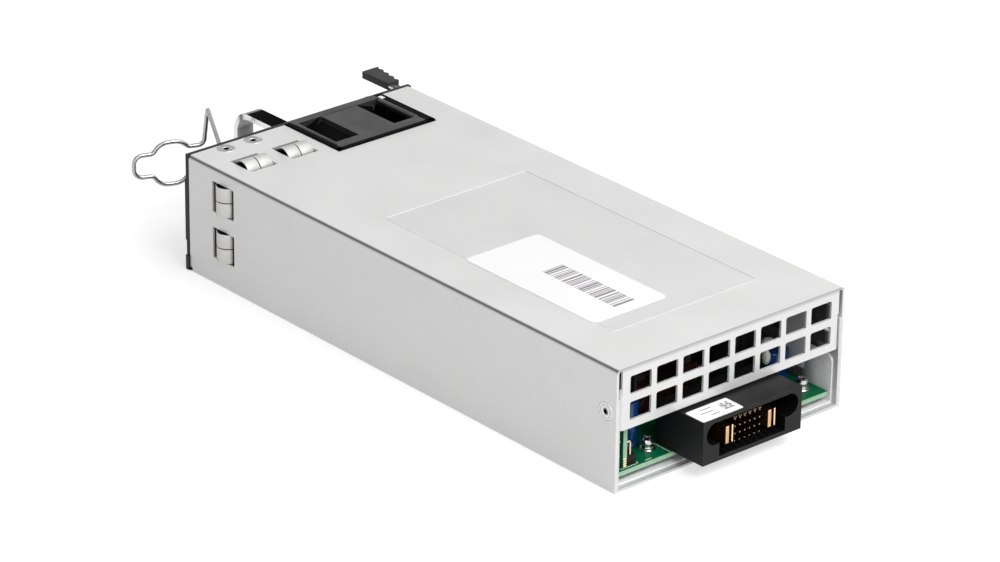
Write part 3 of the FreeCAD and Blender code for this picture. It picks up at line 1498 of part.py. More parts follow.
def toroid(label, x, y, outer, inner, width, wire, turns):
    # A ring core standing on edge, with a winding of square turns spread round it.
    z = board_top + outer + wire + s.gap
    start = y - width / 2
    core = less(rod("y", x, start, z, outer, width), rod("y", x, start, z, inner, width))
    sub_part(label + "_core", core)
    body = new_body(label + "_winding")
    sketch = body.newObject("Sketcher::SketchObject", "Turn")
    sketch.AttachmentSupport = [(origin_of(body, "XY_Plane"), "")]
    sketch.MapMode = "FlatFace"
    bind(sketch, "AttachmentOffset.Base.x", x)
    bind(sketch, "AttachmentOffset.Base.y", y)
    bind(sketch, "AttachmentOffset.Base.z", z - wire / 2)
    half = width / 2
    rectangle(inner - wire - s.gap, outer + wire, -half - wire, half + wire)(sketch)
    rectangle(inner - s.gap, outer, -half, half)(sketch)
    turn = body.newObject("PartDesign::Pad", "Turn")
    turn.Profile = sketch
    bind(turn, "Length", wire)
    axis = body.newObject("Sketcher::SketchObject", "Axis")
    axis.AttachmentSupport = [(origin_of(body, "XZ_Plane"), "")]
    axis.MapMode = "FlatFace"
    bind(axis, "AttachmentOffset.Base.x", x)
    bind(axis, "AttachmentOffset.Base.y", z)
    pattern = body.newObject("PartDesign::PolarPattern", "Turns")
    pattern.Originals = [turn]
    pattern.Axis = (axis, ["N_Axis"])
    pattern.Angle = 360
    bind(pattern, "Occurrences", turns)
    body.Tip = pattern


def toroids():
    toroid("output_choke", half_width - s.choke_side, board_rear - s.choke_rear, s.choke_outer, s.choke_inner,
           s.choke_width, s.choke_wire, s.choke_turns)
    toroid("boost_choke", -s.boost_out, board_front + s.boost_front, s.boost_outer, s.boost_inner,
           s.boost_width, s.boost_wire, s.boost_turns)
    toroid("filter_choke", half_width - s.common_side, board_front + s.common_front, s.common_outer, s.common_inner,
           s.common_width, s.common_wire, s.common_turns)


def transformer():
    # Two ferrite halves round a bobbin: a frame with a middle leg, and the winding round that leg.
    right = s.former_side - half_width
    left = half_width - s.bulk_side - s.bulk_radius - s.part_play
    x = (right + left) / 2
    y = board_front + s.former_front
    half = (left - right) / 2
    leg = s.former_leg / 2
    low, high = board_top, top_inside - s.former_head
    deep = s.former_depth / 2
    yoke = s.former_leg / 2
    frame = block(x - half, x + half, y - deep, y + deep, low, high)
    windows = []
    for a, b in ((x - half + yoke, x - leg), (x + leg, x + half - yoke)):
        windows.append(block(a, b, y - deep, y + deep, low + yoke, high - yoke))
    sub_part("transformer_core", less(frame, *windows))
    out = s.former_bulge
    inside = half - yoke
    coil = block(x - inside, x + inside, y - deep - out, y + deep + out, low + yoke, high - yoke)
    middle = block(x - leg, x + leg, y - deep, y + deep, low + yoke, high - yoke)
    sub_part("transformer_winding", less(coil, middle))


def comb(x0, x1, base, fin_end, fins, metal, way):
    # A finned outline: a plate along u with fins that run from it.
    points = [(x0, base), (x1, base)]
    pitch = (x1 - x0 - metal) / (fins - 1)
    foot = base + way * metal
    for number in range(int(fins.value)):
        edge = x1 - number * pitch
        points += [(edge, fin_end), (edge - metal, fin_end)]
        if number < int(fins.value) - 1:
            points += [(edge - metal, foot), (edge - pitch, foot)]
    return polygon(points)


def heatsinks():
    body = new_body("output_heatsink")
    face = board_rear - s.sink_rear
    outer = -(board_side - s.sink_inset)
    inner = outer + s.sink_width
    fins = comb(outer, inner, face, face - s.sink_depth, s.sink_fins, s.sink_metal, -1)
    grow(body, "z", board_top, sink_top, fins)
    body = new_body("primary_heatsink")
    start = board_front + s.rail_front
    end = face - s.sink_depth - s.rail_rear
    plate = [(outer, start), (outer + s.rail_metal, start), (outer + s.rail_metal, end), (outer, end)]
    grow(body, "z", board_top, sink_top, polygon(plate))
    grow(body, "z", sink_top - s.rail_metal, sink_top, rectangle(outer, outer + s.rail_foot, start, end))
    devices = []
    for number in range(int(s.device_count.value)):
        y = start + (end - start) * (number + 0.5) / s.device_count
        near = outer + s.rail_metal
        half = s.device_width / 2
        low = board_top + s.device_lift
        high = low + s.device_height
        case = block(near, near + s.device_metal, y - half, y + half, low, high)
        legs = legs_under(near + s.device_metal / 2, y, s.lead_pitch, "y", 3, low)
        devices.append(joined_solids(case, *legs))
    set_of("power_transistors", devices)


def small_parts():
    x = half_width - s.relay_side
    y = board_front + s.relay_front
    half = s.relay_width / 2
    relay = block(x - half, x + half, y, y + s.relay_length, board_top, board_top + s.relay_height)
    sub_part("inrush_relay", relay)
    films = []
    for number in range(int(s.film_count.value)):
        y = board_front + s.film_front + number * (s.film_thick + s.part_play)
        x = half_width - s.film_side
        film = block(x, x + s.film_wide, y, y + s.film_thick, board_top, board_top + s.film_tall)
        films.append(film)
    set_of("film_capacitors", films)
    y = board_front + s.fuse_front
    z = board_top + s.fuse_radius + s.part_play
    body = rod("x", s.fuse_out, y, z, s.fuse_radius - s.gap, s.fuse_length)
    caps = []
    legs = []
    for x in (s.fuse_out, s.fuse_out + s.fuse_length - s.fuse_cap):
        caps.append(rod("x", x, y, z, s.fuse_radius, s.fuse_cap))
        legs += legs_under(x + s.fuse_cap / 2, y, s.lead_pitch, "x", 1, z)
    sub_part("line_fuse", joined_solids(body, *caps, *legs))
    x = -s.bridge_out
    y = board_front + s.bridge_front
    low = board_top + s.device_lift
    bridge = block(x, x + s.bridge_width, y, y + s.bridge_metal, low, low + s.bridge_height)
    pitch = s.bridge_width / 4
    legs = legs_under(x + s.bridge_width / 2, y + s.bridge_metal / 2, pitch, "x", 4, low)
    sub_part("bridge_rectifier", joined_solids(bridge, *legs))
    inductor()


def legs_under(x, y, pitch, axis, count, top):
    # Square leads in a row from the board up to a height, spread about a middle.
    half = s.pin_size / 2
    legs = []
    for number in range(count):
        shift = pitch * (number - (count - 1) / 2)
        u = x + shift if axis == "x" else x
        v = y + shift if axis == "y" else y
        legs.append(block(u - half, u + half, v - half, v + half, board_top, top))
    return legs


def inductor():
    # A moulded choke with ribs down its rear face.
    body = new_body("moulded_choke")
    x = half_width - s.ribbed_side
    face = board_rear - s.ribbed_rear
    back = face - s.ribbed_depth
    top = board_top + s.ribbed_height
    count = s.ribbed_ribs
    rib = s.ribbed_width / (2 * count - 1)
    grow(body, "z", board_top, top, comb(x, x + s.ribbed_width, back, face, count, rib, 1))
    grow(body, "z", board_top, top, rectangle(x, x + s.ribbed_width, back, face - s.ribbed_rib))


def write_parts():
    doc.recompute()
    for thing in doc.Objects:
        assert "Invalid" not in thing.State and "Error" not in thing.State, (thing.Label, thing.State)
    for thing in sub_parts:
        assert not thing.Shape.isNull() and thing.Shape.isValid(), thing.Label
    os.makedirs("parts", exist_ok=True)
    for thing in sub_parts:
        thing.Shape.exportStep(f"parts/{thing.Label}.step")


top_cover()
base_tray()
front_panel()
cover_rivets()
finger_clips()
insulator_tray()
main_board()
board_fasteners()
output_connector()
connector_contacts()
fan()
inlet()
cord_bail()
pull_handle()
latch()
status_light()
control_card()
capacitors()
toroids()
transformer()
heatsinks()
small_parts()
write_parts()
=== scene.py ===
import json
import math
import bpy
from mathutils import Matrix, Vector


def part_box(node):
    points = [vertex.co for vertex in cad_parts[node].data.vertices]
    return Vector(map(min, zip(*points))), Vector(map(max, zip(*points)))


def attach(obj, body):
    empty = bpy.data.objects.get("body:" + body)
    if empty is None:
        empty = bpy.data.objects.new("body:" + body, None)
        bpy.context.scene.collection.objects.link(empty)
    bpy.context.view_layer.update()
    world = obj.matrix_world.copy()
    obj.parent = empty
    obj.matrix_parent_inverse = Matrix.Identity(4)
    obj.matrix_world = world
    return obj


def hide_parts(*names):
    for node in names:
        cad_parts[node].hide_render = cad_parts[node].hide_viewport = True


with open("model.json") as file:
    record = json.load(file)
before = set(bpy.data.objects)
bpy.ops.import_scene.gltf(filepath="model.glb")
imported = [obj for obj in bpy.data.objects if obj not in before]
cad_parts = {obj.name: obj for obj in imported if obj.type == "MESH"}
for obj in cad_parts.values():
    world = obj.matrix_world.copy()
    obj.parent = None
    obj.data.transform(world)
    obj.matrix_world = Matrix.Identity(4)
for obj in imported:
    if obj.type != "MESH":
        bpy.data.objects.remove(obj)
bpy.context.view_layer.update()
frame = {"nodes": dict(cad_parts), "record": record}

mm = 0.001
nodes = frame["nodes"]
bodyOf = {}
for bodyName, members in frame["record"]["behaviour"]["bodies"].items():
    for member in members:
        bodyOf[member] = bodyName


def at(x, y, z):
    return Vector((x * mm, y * mm, z * mm))


# shader nodes, and groups of them that several finishes share
def addNode(tree, kind, inputs=(), **settings):
    # each input takes a value, or the output of another node
    node = tree.nodes.new("ShaderNode" + kind)
    for key, value in settings.items():
        setattr(node, key, value)
    for label, value in dict(inputs).items():
        if isinstance(value, bpy.types.NodeSocket):
            tree.links.new(value, node.inputs[label])
        else:
            node.inputs[label].default_value = value
    return node


def mathNode(tree, operation, first, second=None, clamp=False):
    inputs = [(place, value) for place, value in enumerate((first, second)) if value is not None]
    return addNode(tree, "Math", inputs, operation=operation, use_clamp=clamp).outputs[0]


def mixColour(tree, mask, *ends):
    # each end is an output, three numbers, or one number for a grey
    colours = []
    for end in ends:
        if not isinstance(end, bpy.types.NodeSocket):
            end = (*(end if isinstance(end, tuple) else (end, end, end)), 1.0)
        colours.append(end)
    return addNode(tree, "Mix", {0: mask, 6: colours[0], 7: colours[1]}, data_type="RGBA").outputs[2]


def newGroup(name, inputs, outputs=("Mask",)):
    group = bpy.data.node_groups.new(name, "ShaderNodeTree")
    for label, value in inputs.items():
        kind = "NodeSocketVector" if isinstance(value, tuple) else "NodeSocketFloat"
        group.interface.new_socket(label, in_out="INPUT", socket_type=kind).default_value = value
    for label in outputs:
        group.interface.new_socket(label, in_out="OUTPUT", socket_type="NodeSocketFloat")
    return group, group.nodes.new("NodeGroupInput").outputs, group.nodes.new("NodeGroupOutput").inputs


def buildEdgeWear():
    # bright worn edges: where a rounded normal differs from the true one
    group, entry, leave = newGroup("edgeWear", {"Radius": 0.0003, "Gain": 3.0})
    rounded = addNode(group, "Bevel", {"Radius": entry["Radius"]}, samples=4).outputs["Normal"]
    true = addNode(group, "NewGeometry").outputs["Normal"]
    dot = addNode(group, "VectorMath", {0: rounded, 1: true}, operation="DOT_PRODUCT")
    worn = mathNode(group, "SUBTRACT", 1.0, dot.outputs["Value"])
    group.links.new(mathNode(group, "MULTIPLY", worn, entry["Gain"], clamp=True), leave["Mask"])
    return group


def buildGrain():
    # fine specks over a slow cloud, stretched along an axis for drawn or brushed metal
    group, entry, leave = newGroup("grain", {"Scale": 900.0, "Stretch": (1.0, 1.0, 1.0), "Cloud": 0.35},
                                   ("Mask", "Height"))
    place = addNode(group, "TexCoord").outputs["Object"]
    stretch = addNode(group, "VectorMath", {0: place, 1: entry["Stretch"]}, operation="MULTIPLY")
    fine = addNode(group, "TexNoise", {"Detail": 3.0, "Vector": stretch.outputs["Vector"], "Scale": entry["Scale"]})
    slow = addNode(group, "TexNoise", {"Detail": 2.0, "Scale": 45.0, "Vector": place})
    slowPart = mathNode(group, "MULTIPLY", slow.outputs["Fac"], entry["Cloud"])
    keep = mathNode(group, "SUBTRACT", 1.0, entry["Cloud"])
    finePart = mathNode(group, "MULTIPLY", fine.outputs["Fac"], keep)
    spread = mathNode(group, "SUBTRACT", mathNode(group, "ADD", slowPart, finePart), 0.3)
    group.links.new(mathNode(group, "MULTIPLY", spread, 2.5, clamp=True), leave["Mask"])
    group.links.new(fine.outputs["Fac"], leave["Height"])
    return group


def buildDust():
    # pale dust that settles on faces that look up
    group, entry, leave = newGroup("dust", {"Amount": 0.2})
    apart = addNode(group, "SeparateXYZ", {0: addNode(group, "NewGeometry").outputs["Normal"]})
    up = mathNode(group, "MULTIPLY", apart.outputs["Z"], 1.0, clamp=True)
    place = addNode(group, "TexCoord").outputs["Object"]
    patch = addNode(group, "TexNoise", {"Scale": 120.0, "Detail": 5.0, "Vector": place})
    patchy = mathNode(group, "SUBTRACT", patch.outputs["Fac"], 0.35, clamp=True)
    mask = mathNode(group, "MULTIPLY", up, patchy)
    group.links.new(mathNode(group, "MULTIPLY", mask, entry["Amount"], clamp=True), leave["Mask"])
    return group


def buildSpecks():
    # sparse tiny bright flecks, as in a zinc coat
    group, entry, leave = newGroup("specks", {"Scale": 260.0, "Size": 0.06})
    place = addNode(group, "TexCoord").outputs["Object"]
    cells = addNode(group, "TexVoronoi", {"Vector": place, "Scale": entry["Scale"]})
    near = mathNode(group, "LESS_THAN", cells.outputs["Distance"], entry["Size"])
    pick = addNode(group, "SeparateColor", {0: cells.outputs["Color"]})
    few = mathNode(group, "GREATER_THAN", pick.outputs[0], 0.72)
    group.links.new(mathNode(group, "MULTIPLY", near, few), leave["Mask"])
    return group


def buildBendReflections():
    # painted reflection: a dark line along the rolled bends between the top and the sides, and a band along the rear
    # top bend, from the piece's own normal
    group, entry, leave = newGroup("bends", {"Depth": 0.9})
    place = addNode(group, "TexCoord").outputs
    parts = addNode(group, "SeparateXYZ", {0: place["Normal"]}).outputs
    side = mathNode(group, "MULTIPLY", mathNode(group, "ABSOLUTE", parts["X"]), parts["Z"])
    side = mathNode(group, "POWER", mathNode(group, "MULTIPLY", side, 2.0, clamp=True), 4.0)
    height = addNode(group, "SeparateXYZ", {0: place["Object"]}).outputs["Z"]
    band = addNode(group, "MapRange", {"Value": height, "From Min": 38.3 * mm, "From Max": 39.8 * mm})
    rear = mathNode(group, "MULTIPLY", parts["Y"], 0.55, clamp=True)
    rear = mathNode(group, "MULTIPLY", rear, band.outputs["Result"])
    both = mathNode(group, "MAXIMUM", side, rear)
    group.links.new(mathNode(group, "MULTIPLY", both, entry["Depth"]), leave["Mask"])
    return group


shared = {"bends": buildBendReflections(), "edgeWear": buildEdgeWear(), "grain": buildGrain(), "dust": buildDust(),
          "specks": buildSpecks()}
print("shader groups built")


def useGroup(tree, name, values=()):
    return addNode(tree, "Group", values, node_tree=shared[name])


# each finish: two colours it varies between, its gloss, and its worn edges; a single number is a grey
finishBasis = dict(metallic=0.0, scale=700, bump=0.01, cloud=0.5, wearGain=0.0, dust=0.0)
finishes = {
    # the casing steel's bend grey is a painted dark reflection along its bends
    "caseSteel": dict(colour=(0.71, 0.71, 0.705), other=(0.755, 0.755, 0.75), metallic=0.35, rough=(0.38, 0.48),
        bump=0.012, wear=0.92, wearGain=1.0, dust=0.1, specks=0.35, bend=0.05),
    "traySteel": dict(colour=0.6, other=(0.72, 0.72, 0.715), metallic=0.5, rough=(0.3, 0.45), bump=0.012, wear=0.92,
        wearGain=1.2, dust=0.1, specks=0.35),
    "panelBlack": dict(colour=0.005, other=0.01, rough=(0.4, 0.55), scale=1500, bump=0.05, cloud=0.3, wear=0.06,
        wearGain=0.6, dust=0.02, shine=0.25),
    "rivetSteel": dict(colour=(0.64, 0.64, 0.63), other=(0.78, 0.78, 0.77), metallic=0.7, rough=(0.24, 0.36),
        scale=1200, bump=0.02, cloud=0.3, wear=0.95, wearGain=1.6, dust=0.1),
    "screwZinc": dict(colour=(0.5, 0.51, 0.52), other=(0.74, 0.75, 0.76), metallic=1.0, rough=(0.16, 0.3), scale=1500,
        bump=0.02, cloud=0.3, wear=0.95, wearGain=1.6, dust=0.03),
    "bailWire": dict(colour=0.36, other=0.5, metallic=1.0, rough=(0.22, 0.32), scale=900),
    "handleSteel": dict(colour=0.62, other=0.76, metallic=1.0, rough=(0.08, 0.16), scale=1100, bump=0.008, cloud=0.4,
        stretch=(1.0, 0.1, 0.1), wear=0.95, wearGain=1.2, dust=0.03),
    "connectorBlack": dict(colour=(0.005, 0.005, 0.0055), other=(0.011, 0.011, 0.0115), rough=(0.42, 0.55),
        scale=1600, bump=0.04, cloud=0.35, wear=0.07, wearGain=1.2, dust=0.04, shine=0.2),
    "fanPlastic": dict(colour=(0.017, 0.017, 0.018), other=(0.03, 0.03, 0.031), rough=(0.38, 0.5), scale=1400,
        bump=0.04, cloud=0.4, wear=0.12, wearGain=1.2, dust=0.12),
    "gripPlastic": dict(colour=0.012, other=0.02, rough=(0.4, 0.55), scale=1500, bump=0.08, cloud=0.3, wear=0.12,
        wearGain=1.0, dust=0.1, shine=0.25),
    # painted shade: a mid grey for the undersides of the clips and the film's side edge
    "shadeGrey": dict(colour=0.2, other=0.26, metallic=0.3, rough=(0.5, 0.65), shine=0.2),
    # painted shade: near black for holes, gaps, the fan's pockets and the connector's mouth
    "shadeBlack": dict(colour=0.002, other=0.005, rough=(0.6, 0.7), shine=0.03),
    # painted shade: the shell's inner faces are darker copies of its steel, darker still deeper in
    "caseInsideShaded": dict(colour=0.58, other=(0.68, 0.68, 0.675), metallic=0.3, rough=(0.45, 0.55), shine=0.2,
        deep=(100.5, 96.5, 0.07)),
    "trayInsideShaded": dict(colour=0.52, other=(0.62, 0.62, 0.615), metallic=0.3, rough=(0.35, 0.45), shine=0.2,
        deep=(99.0, 92.0, 0.03)),
    "plateGrey": dict(colour=0.8, other=0.86, metallic=0.2, rough=(0.4, 0.5), wear=0.5, wearGain=0.6),
    "clipNickel": dict(colour=(0.6, 0.595, 0.57), other=(0.66, 0.655, 0.63), metallic=0.4, rough=(0.34, 0.42),
        scale=900, bump=0.0, cloud=0.4),
    # painted shade: a darker copy of the clip nickel for the clips on top
    "clipNickelShaded": dict(colour=(0.5, 0.5, 0.48), other=(0.56, 0.56, 0.54), metallic=0.3, rough=(0.38, 0.46), scale=900,
        bump=0.0, cloud=0.4),
    # painted reflections: a dark band and a pale face on the polished handle
    "handleDarkReflection": dict(colour=(0.05, 0.05, 0.052), other=(0.075, 0.075, 0.077), metallic=1.0, rough=(0.07, 0.12),
        scale=1100, bump=0.004, cloud=0.4, wear=0.8, wearGain=1.4),
    "handlePaleReflection": dict(colour=0.6, other=0.74, metallic=0.2, rough=(0.25, 0.35), scale=500, bump=0.02, cloud=0.7,
        stretch=(0.3, 1.0, 1.0), wear=0.95, wearGain=1.2),
    "railPlastic": dict(colour=(0.016, 0.016, 0.017), other=(0.024, 0.024, 0.025), rough=(0.26, 0.34), scale=1400,
        bump=0.02, cloud=0.4, shine=0.6),
    "boltZinc": dict(colour=0.5, other=0.74, metallic=1.0, rough=(0.14, 0.22), scale=1500, bump=0.02, cloud=0.3,
        wear=0.95, wearGain=2.0),
    "bladeWarm": dict(colour=(0.62, 0.36, 0.16), other=(0.78, 0.5, 0.26), metallic=1.0, rough=(0.24, 0.34),
        scale=1400, cloud=0.3, wear=(0.95, 0.85, 0.65), wearGain=1.4),
    # painted shade: a darkened copy of the gold plate for the pins deep in the connector
    "goldShaded": dict(colour=(0.2, 0.11, 0.045), other=(0.34, 0.2, 0.09), metallic=1.0, rough=(0.3, 0.4), scale=1400,
        cloud=0.3, wear=(0.9, 0.8, 0.6), wearGain=1.6),
    "goldPlate": dict(colour=(0.8, 0.56, 0.27), other=(0.95, 0.76, 0.46), metallic=1.0, rough=(0.14, 0.24),
        scale=1400, cloud=0.3, wear=(1.0, 0.92, 0.75), wearGain=1.5),
    "boardGreen": dict(colour=(0.001, 0.105, 0.04), other=(0.002, 0.14, 0.056), rough=(0.26, 0.38), scale=600,
        bump=0.02, cloud=0.4, wear=(0.3, 0.52, 0.34), wearGain=1.2, shine=0.05),
    "boardEdge": dict(colour=(0.28, 0.48, 0.31), other=(0.4, 0.6, 0.43), rough=(0.5, 0.65), scale=1500, bump=0.05,
        cloud=0.4),
    # painted shade: the film darkens deeper inside the casing
    "milkyFilm": dict(colour=(0.86, 0.85, 0.855), other=(0.93, 0.92, 0.925), rough=(0.22, 0.34), scale=500,
        bump=0.006, wear=0.98, wearGain=0.8, deep=(93.0, 87.0, 0.12)),
    "blueSleeve": dict(colour=(0.002, 0.04, 0.17), other=(0.005, 0.062, 0.24), rough=(0.14, 0.22), scale=500,
        wear=(0.1, 0.25, 0.6), wearGain=1.0, dust=0.02, coat=0.4),
    "blackSleeve": dict(colour=(0.01, 0.01, 0.012), other=(0.02, 0.02, 0.022), rough=(0.2, 0.32), scale=500,
        bump=0.02, wear=0.08, wearGain=1.0, dust=0.03, coat=0.3),
    "copperCoil": dict(colour=(0.03, 0.008, 0.006), other=(0.075, 0.02, 0.012), metallic=0.4, rough=(0.2, 0.32),
        scale=800, cloud=0.4, wear=(0.6, 0.3, 0.18), wearGain=1.0),
    "ferriteDark": dict(colour=(0.016, 0.016, 0.017), other=(0.032, 0.032, 0.034), rough=(0.55, 0.7), scale=900,
        bump=0.1, cloud=0.4, wear=0.09, wearGain=1.0, dust=0.03),
    "tapeYellow": dict(colour=(0.22, 0.15, 0.02), other=(0.3, 0.21, 0.03), rough=(0.3, 0.42), scale=500, bump=0.02,
        wear=(0.6, 0.45, 0.15), wearGain=1.0, dust=0.02),
    "sinkMetal": dict(colour=(0.03, 0.03, 0.032), other=(0.06, 0.06, 0.062), metallic=0.7, rough=(0.35, 0.5),
        scale=900, bump=0.03, stretch=(1.0, 1.0, 0.08), wear=0.7, wearGain=1.2, dust=0.02),
    "paleBox": dict(colour=(0.2, 0.2, 0.18), other=(0.28, 0.28, 0.26), rough=(0.4, 0.5), scale=900, bump=0.03,
        cloud=0.4, wear=(0.8, 0.8, 0.78), wearGain=1.0, dust=0.02),
    "lightLens": dict(colour=(0.35, 0.62, 0.38), other=(0.45, 0.72, 0.47), rough=(0.08, 0.14), bump=0.0, cloud=0.3,
        wear=(0.7, 0.9, 0.7), wearGain=1.0, coat=0.5),
    "labelPaper": dict(colour=0.84, other=0.87, rough=(0.36, 0.46), scale=1800, cloud=0.3, wear=0.95, wearGain=0.8),
    "clearFilm": dict(colour=(0.73, 0.73, 0.725), other=(0.76, 0.76, 0.755), metallic=0.35, rough=(0.34, 0.4),
        scale=900, bump=0.006, cloud=0.6),
    "printInk": dict(colour=(0.2, 0.19, 0.2), other=(0.3, 0.28, 0.3), rough=(0.5, 0.6), scale=2500, bump=0.0,
        cloud=0.3),
    "silkWhite": dict(colour=(0.72, 0.74, 0.7), other=(0.82, 0.84, 0.8), rough=(0.5, 0.6), scale=2500, bump=0.0,
        cloud=0.3),
    "siliconeWhite": dict(colour=(0.76, 0.76, 0.72), other=(0.85, 0.85, 0.82), rough=(0.25, 0.35), scale=400,
        bump=0.03, scatter=0.2),
}

# what the finishes share: the reach of worn edges, the relief of the grain, the dust's colour
surface = {"edgeRadius": 0.25 * mm, "bumpDepth": 0.2 * mm, "bumpGain": 4, "dust": (0.55, 0.54, 0.52)}


def makeFinish(name, look):
    look = {**finishBasis, **look}
    material = bpy.data.materials.new(name)
    material.use_nodes = True
    tree = material.node_tree
    shader = tree.nodes["Principled BSDF"].inputs
    shader["Metallic"].default_value = look["metallic"]
    shader["Coat Weight"].default_value = look.get("coat", 0.0)
    shader["Specular IOR Level"].default_value = look.get("shine", 0.5)
    shader["Subsurface Weight"].default_value = look.get("scatter", 0.0)
    shader["Subsurface Scale"].default_value = 0.002
    grain = useGroup(tree, "grain", {
        "Scale": look["scale"], "Cloud": look["cloud"], "Stretch": look.get("stretch", (1.0, 1.0, 1.0)),
    }).outputs
    colour = mixColour(tree, grain["Mask"], look["colour"], look["other"])
    if look.get("specks"):
        flecks = useGroup(tree, "specks")
        strength = mathNode(tree, "MULTIPLY", flecks.outputs["Mask"], look["specks"])
        colour = mixColour(tree, strength, colour, look["wear"])
    if look["wearGain"]:
        edge = useGroup(tree, "edgeWear", {"Radius": surface["edgeRadius"], "Gain": look["wearGain"]})
        colour = mixColour(tree, edge.outputs["Mask"], colour, look["wear"])
    # painted shade: the colour darkens from the rear Y to the inner Y, deeper inside the casing
    if look.get("deep"):
        rear, inner, dark = look["deep"]
        parts = addNode(tree, "SeparateXYZ", {0: addNode(tree, "TexCoord").outputs["Object"]})
        depth = addNode(tree, "MapRange", {"Value": parts.outputs["Y"], "From Min": rear * mm, "From Max": inner * mm})
        colour = mixColour(tree, depth.outputs["Result"], colour, dark)
    # painted reflection: the bends darken towards this grey
    if look.get("bend"):
        colour = mixColour(tree, useGroup(tree, "bends").outputs["Mask"], colour, look["bend"])
    if look["dust"]:
        dust = useGroup(tree, "dust", {"Amount": look["dust"]})
        colour = mixColour(tree, dust.outputs["Mask"], colour, surface["dust"])
    tree.links.new(colour, shader["Base Color"])
    smooth, dull = look["rough"]
    spread = addNode(tree, "MapRange", {"Value": grain["Mask"], "To Min": smooth, "To Max": dull})
    tree.links.new(spread.outputs["Result"], shader["Roughness"])
    if look["bump"]:
        bump = addNode(tree, "Bump", {"Strength": look["bump"] * surface["bumpGain"],
                                      "Distance": surface["bumpDepth"], "Height": grain["Height"]})
        tree.links.new(bump.outputs["Normal"], shader["Normal"])
    return material


materials = {name: makeFinish(name, look) for name, look in finishes.items()}
print("finishes built")


# editing helpers
def deselectAll():
    bpy.ops.object.select_all(action="DESELECT")


def startPiece(name):
    piece = bpy.context.active_object
    piece.name = name
    piece.data.name = name
    return piece


def activate(piece):
    deselectAll()
    piece.select_set(True)
    bpy.context.view_layer.objects.active = piece


def editing(piece, work):
    # run work with the piece in edit mode and nothing selected
    activate(piece)
    bpy.ops.object.mode_set(mode="EDIT")
    bpy.ops.mesh.select_all(action="DESELECT")
    work(piece)
    bpy.ops.object.mode_set(mode="OBJECT")


def selectMesh():
    bpy.ops.mesh.select_all(action="SELECT")


def pullOut(move):
    bpy.ops.mesh.extrude_region_move(TRANSFORM_OT_translate={"value": move})


def pickFaces(piece, test):
    # in edit mode: select the faces whose centre and normal pass the test
    bpy.ops.mesh.select_mode(type="FACE")
    bpy.ops.mesh.select_all(action="DESELECT")
    bpy.ops.object.mode_set(mode="OBJECT")
    for face in piece.data.polygons:
        face.select = bool(test(face.center, face.normal))
    bpy.ops.object.mode_set(mode="EDIT")


def faceOutward(piece):
    # in edit mode: merge doubles and turn every face outward
    selectMesh()
    bpy.ops.mesh.remove_doubles(threshold=1e-6)
    bpy.ops.mesh.normals_make_consistent(inside=False)


def applyModifier(piece, kind, **values):
    activate(piece)
    modifier = piece.modifiers.new(kind.title(), kind)
    for key, value in values.items():
        setattr(modifier, key, value)
    bpy.ops.object.modifier_apply(modifier=modifier.name)


def softenEdges(piece, width, segments=1, sharp=30):
    applyModifier(piece, "BEVEL", width=width * mm, segments=segments, limit_method="ANGLE",
                  angle_limit=math.radians(sharp))


def settle(piece):
    # put the piece's place into its mesh
    activate(piece)
    bpy.ops.object.transform_apply(location=True, rotation=True, scale=True)


def dress(piece, finish, smooth=0, stands=(), body="casing"):
    settle(piece)
    if smooth:
        bpy.ops.object.shade_smooth_by_angle(angle=math.radians(smooth))
    piece.data.materials.clear()
    piece.data.materials.append(materials[finish])
    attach(piece, body)
    if stands:
        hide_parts(*stands)
    return piece


def addBlock(name, low, high, bevel=0.0, segments=1):
    # a box between two corners in millimetres, with rounded edges
    deselectAll()
    bpy.ops.mesh.primitive_cube_add(size=1.0, location=(Vector(low) + Vector(high)) / 2 * mm)
    piece = startPiece(name)
    piece.scale = (Vector(high) - Vector(low)) * mm
    settle(piece)
    if bevel:
        softenEdges(piece, bevel, segments)
    return piece


def joinInto(name, pieces):
    deselectAll()
    for piece in pieces:
        piece.select_set(True)
    bpy.context.view_layer.objects.active = pieces[0]
    if len(pieces) > 1:
        bpy.ops.object.join()
    return startPiece(name)


def addBlocks(name, corners, finish, smooth=0, stands=(), bevel=0.0, segments=1):
    # boxes from pairs of corners, joined into one dressed piece
    blocks = [addBlock(name, low, high, bevel, segments) for low, high in corners]
    return dress(joinInto(name, blocks), finish, smooth, stands)


def cutAway(piece, cutters, **values):
    cut = joinInto("cutter", cutters)
    applyModifier(piece, "BOOLEAN", object=cut, operation="DIFFERENCE", solver="EXACT", **values)
    bpy.data.objects.remove(cut)


def copyTo(master, spot, turn=(0, 0, 0), grow=(1, 1, 1)):
    # a copy with its own mesh, put at a spot
    activate(master)
    bpy.ops.object.duplicate()
    copy = bpy.context.active_object
    copy.location, copy.rotation_euler, copy.scale = at(*spot), turn, grow
    settle(copy)
    return copy


def placeCopies(name, master, spots, turn=(0, 0, 0), grow=(1, 1, 1)):
    # one copy for each spot, joined; the master itself goes
    copies = [copyTo(master, spot, turn, grow) for spot in spots]
    bpy.data.objects.remove(master)
    return joinInto(name, copies)


def addRounded(name, low, high, radius, bottom, top, segments=6):
    # a flat plate with round corners, drawn from its two opposite corners
    deselectAll()
    centre = ((low[0] + high[0]) / 2, (low[1] + high[1]) / 2)
    bpy.ops.mesh.primitive_plane_add(size=1.0, location=at(*centre, bottom))
    piece = startPiece(name)
    piece.scale = ((high[0] - low[0]) * mm, (high[1] - low[1]) * mm, 1.0)
    settle(piece)

    def roundCorners(piece):
        selectMesh()
        bpy.ops.mesh.bevel(offset=radius * mm, segments=segments, affect="VERTICES")

    editing(piece, roundCorners)
    applyModifier(piece, "SOLIDIFY", thickness=(top - bottom) * mm, offset=1.0)
    return piece


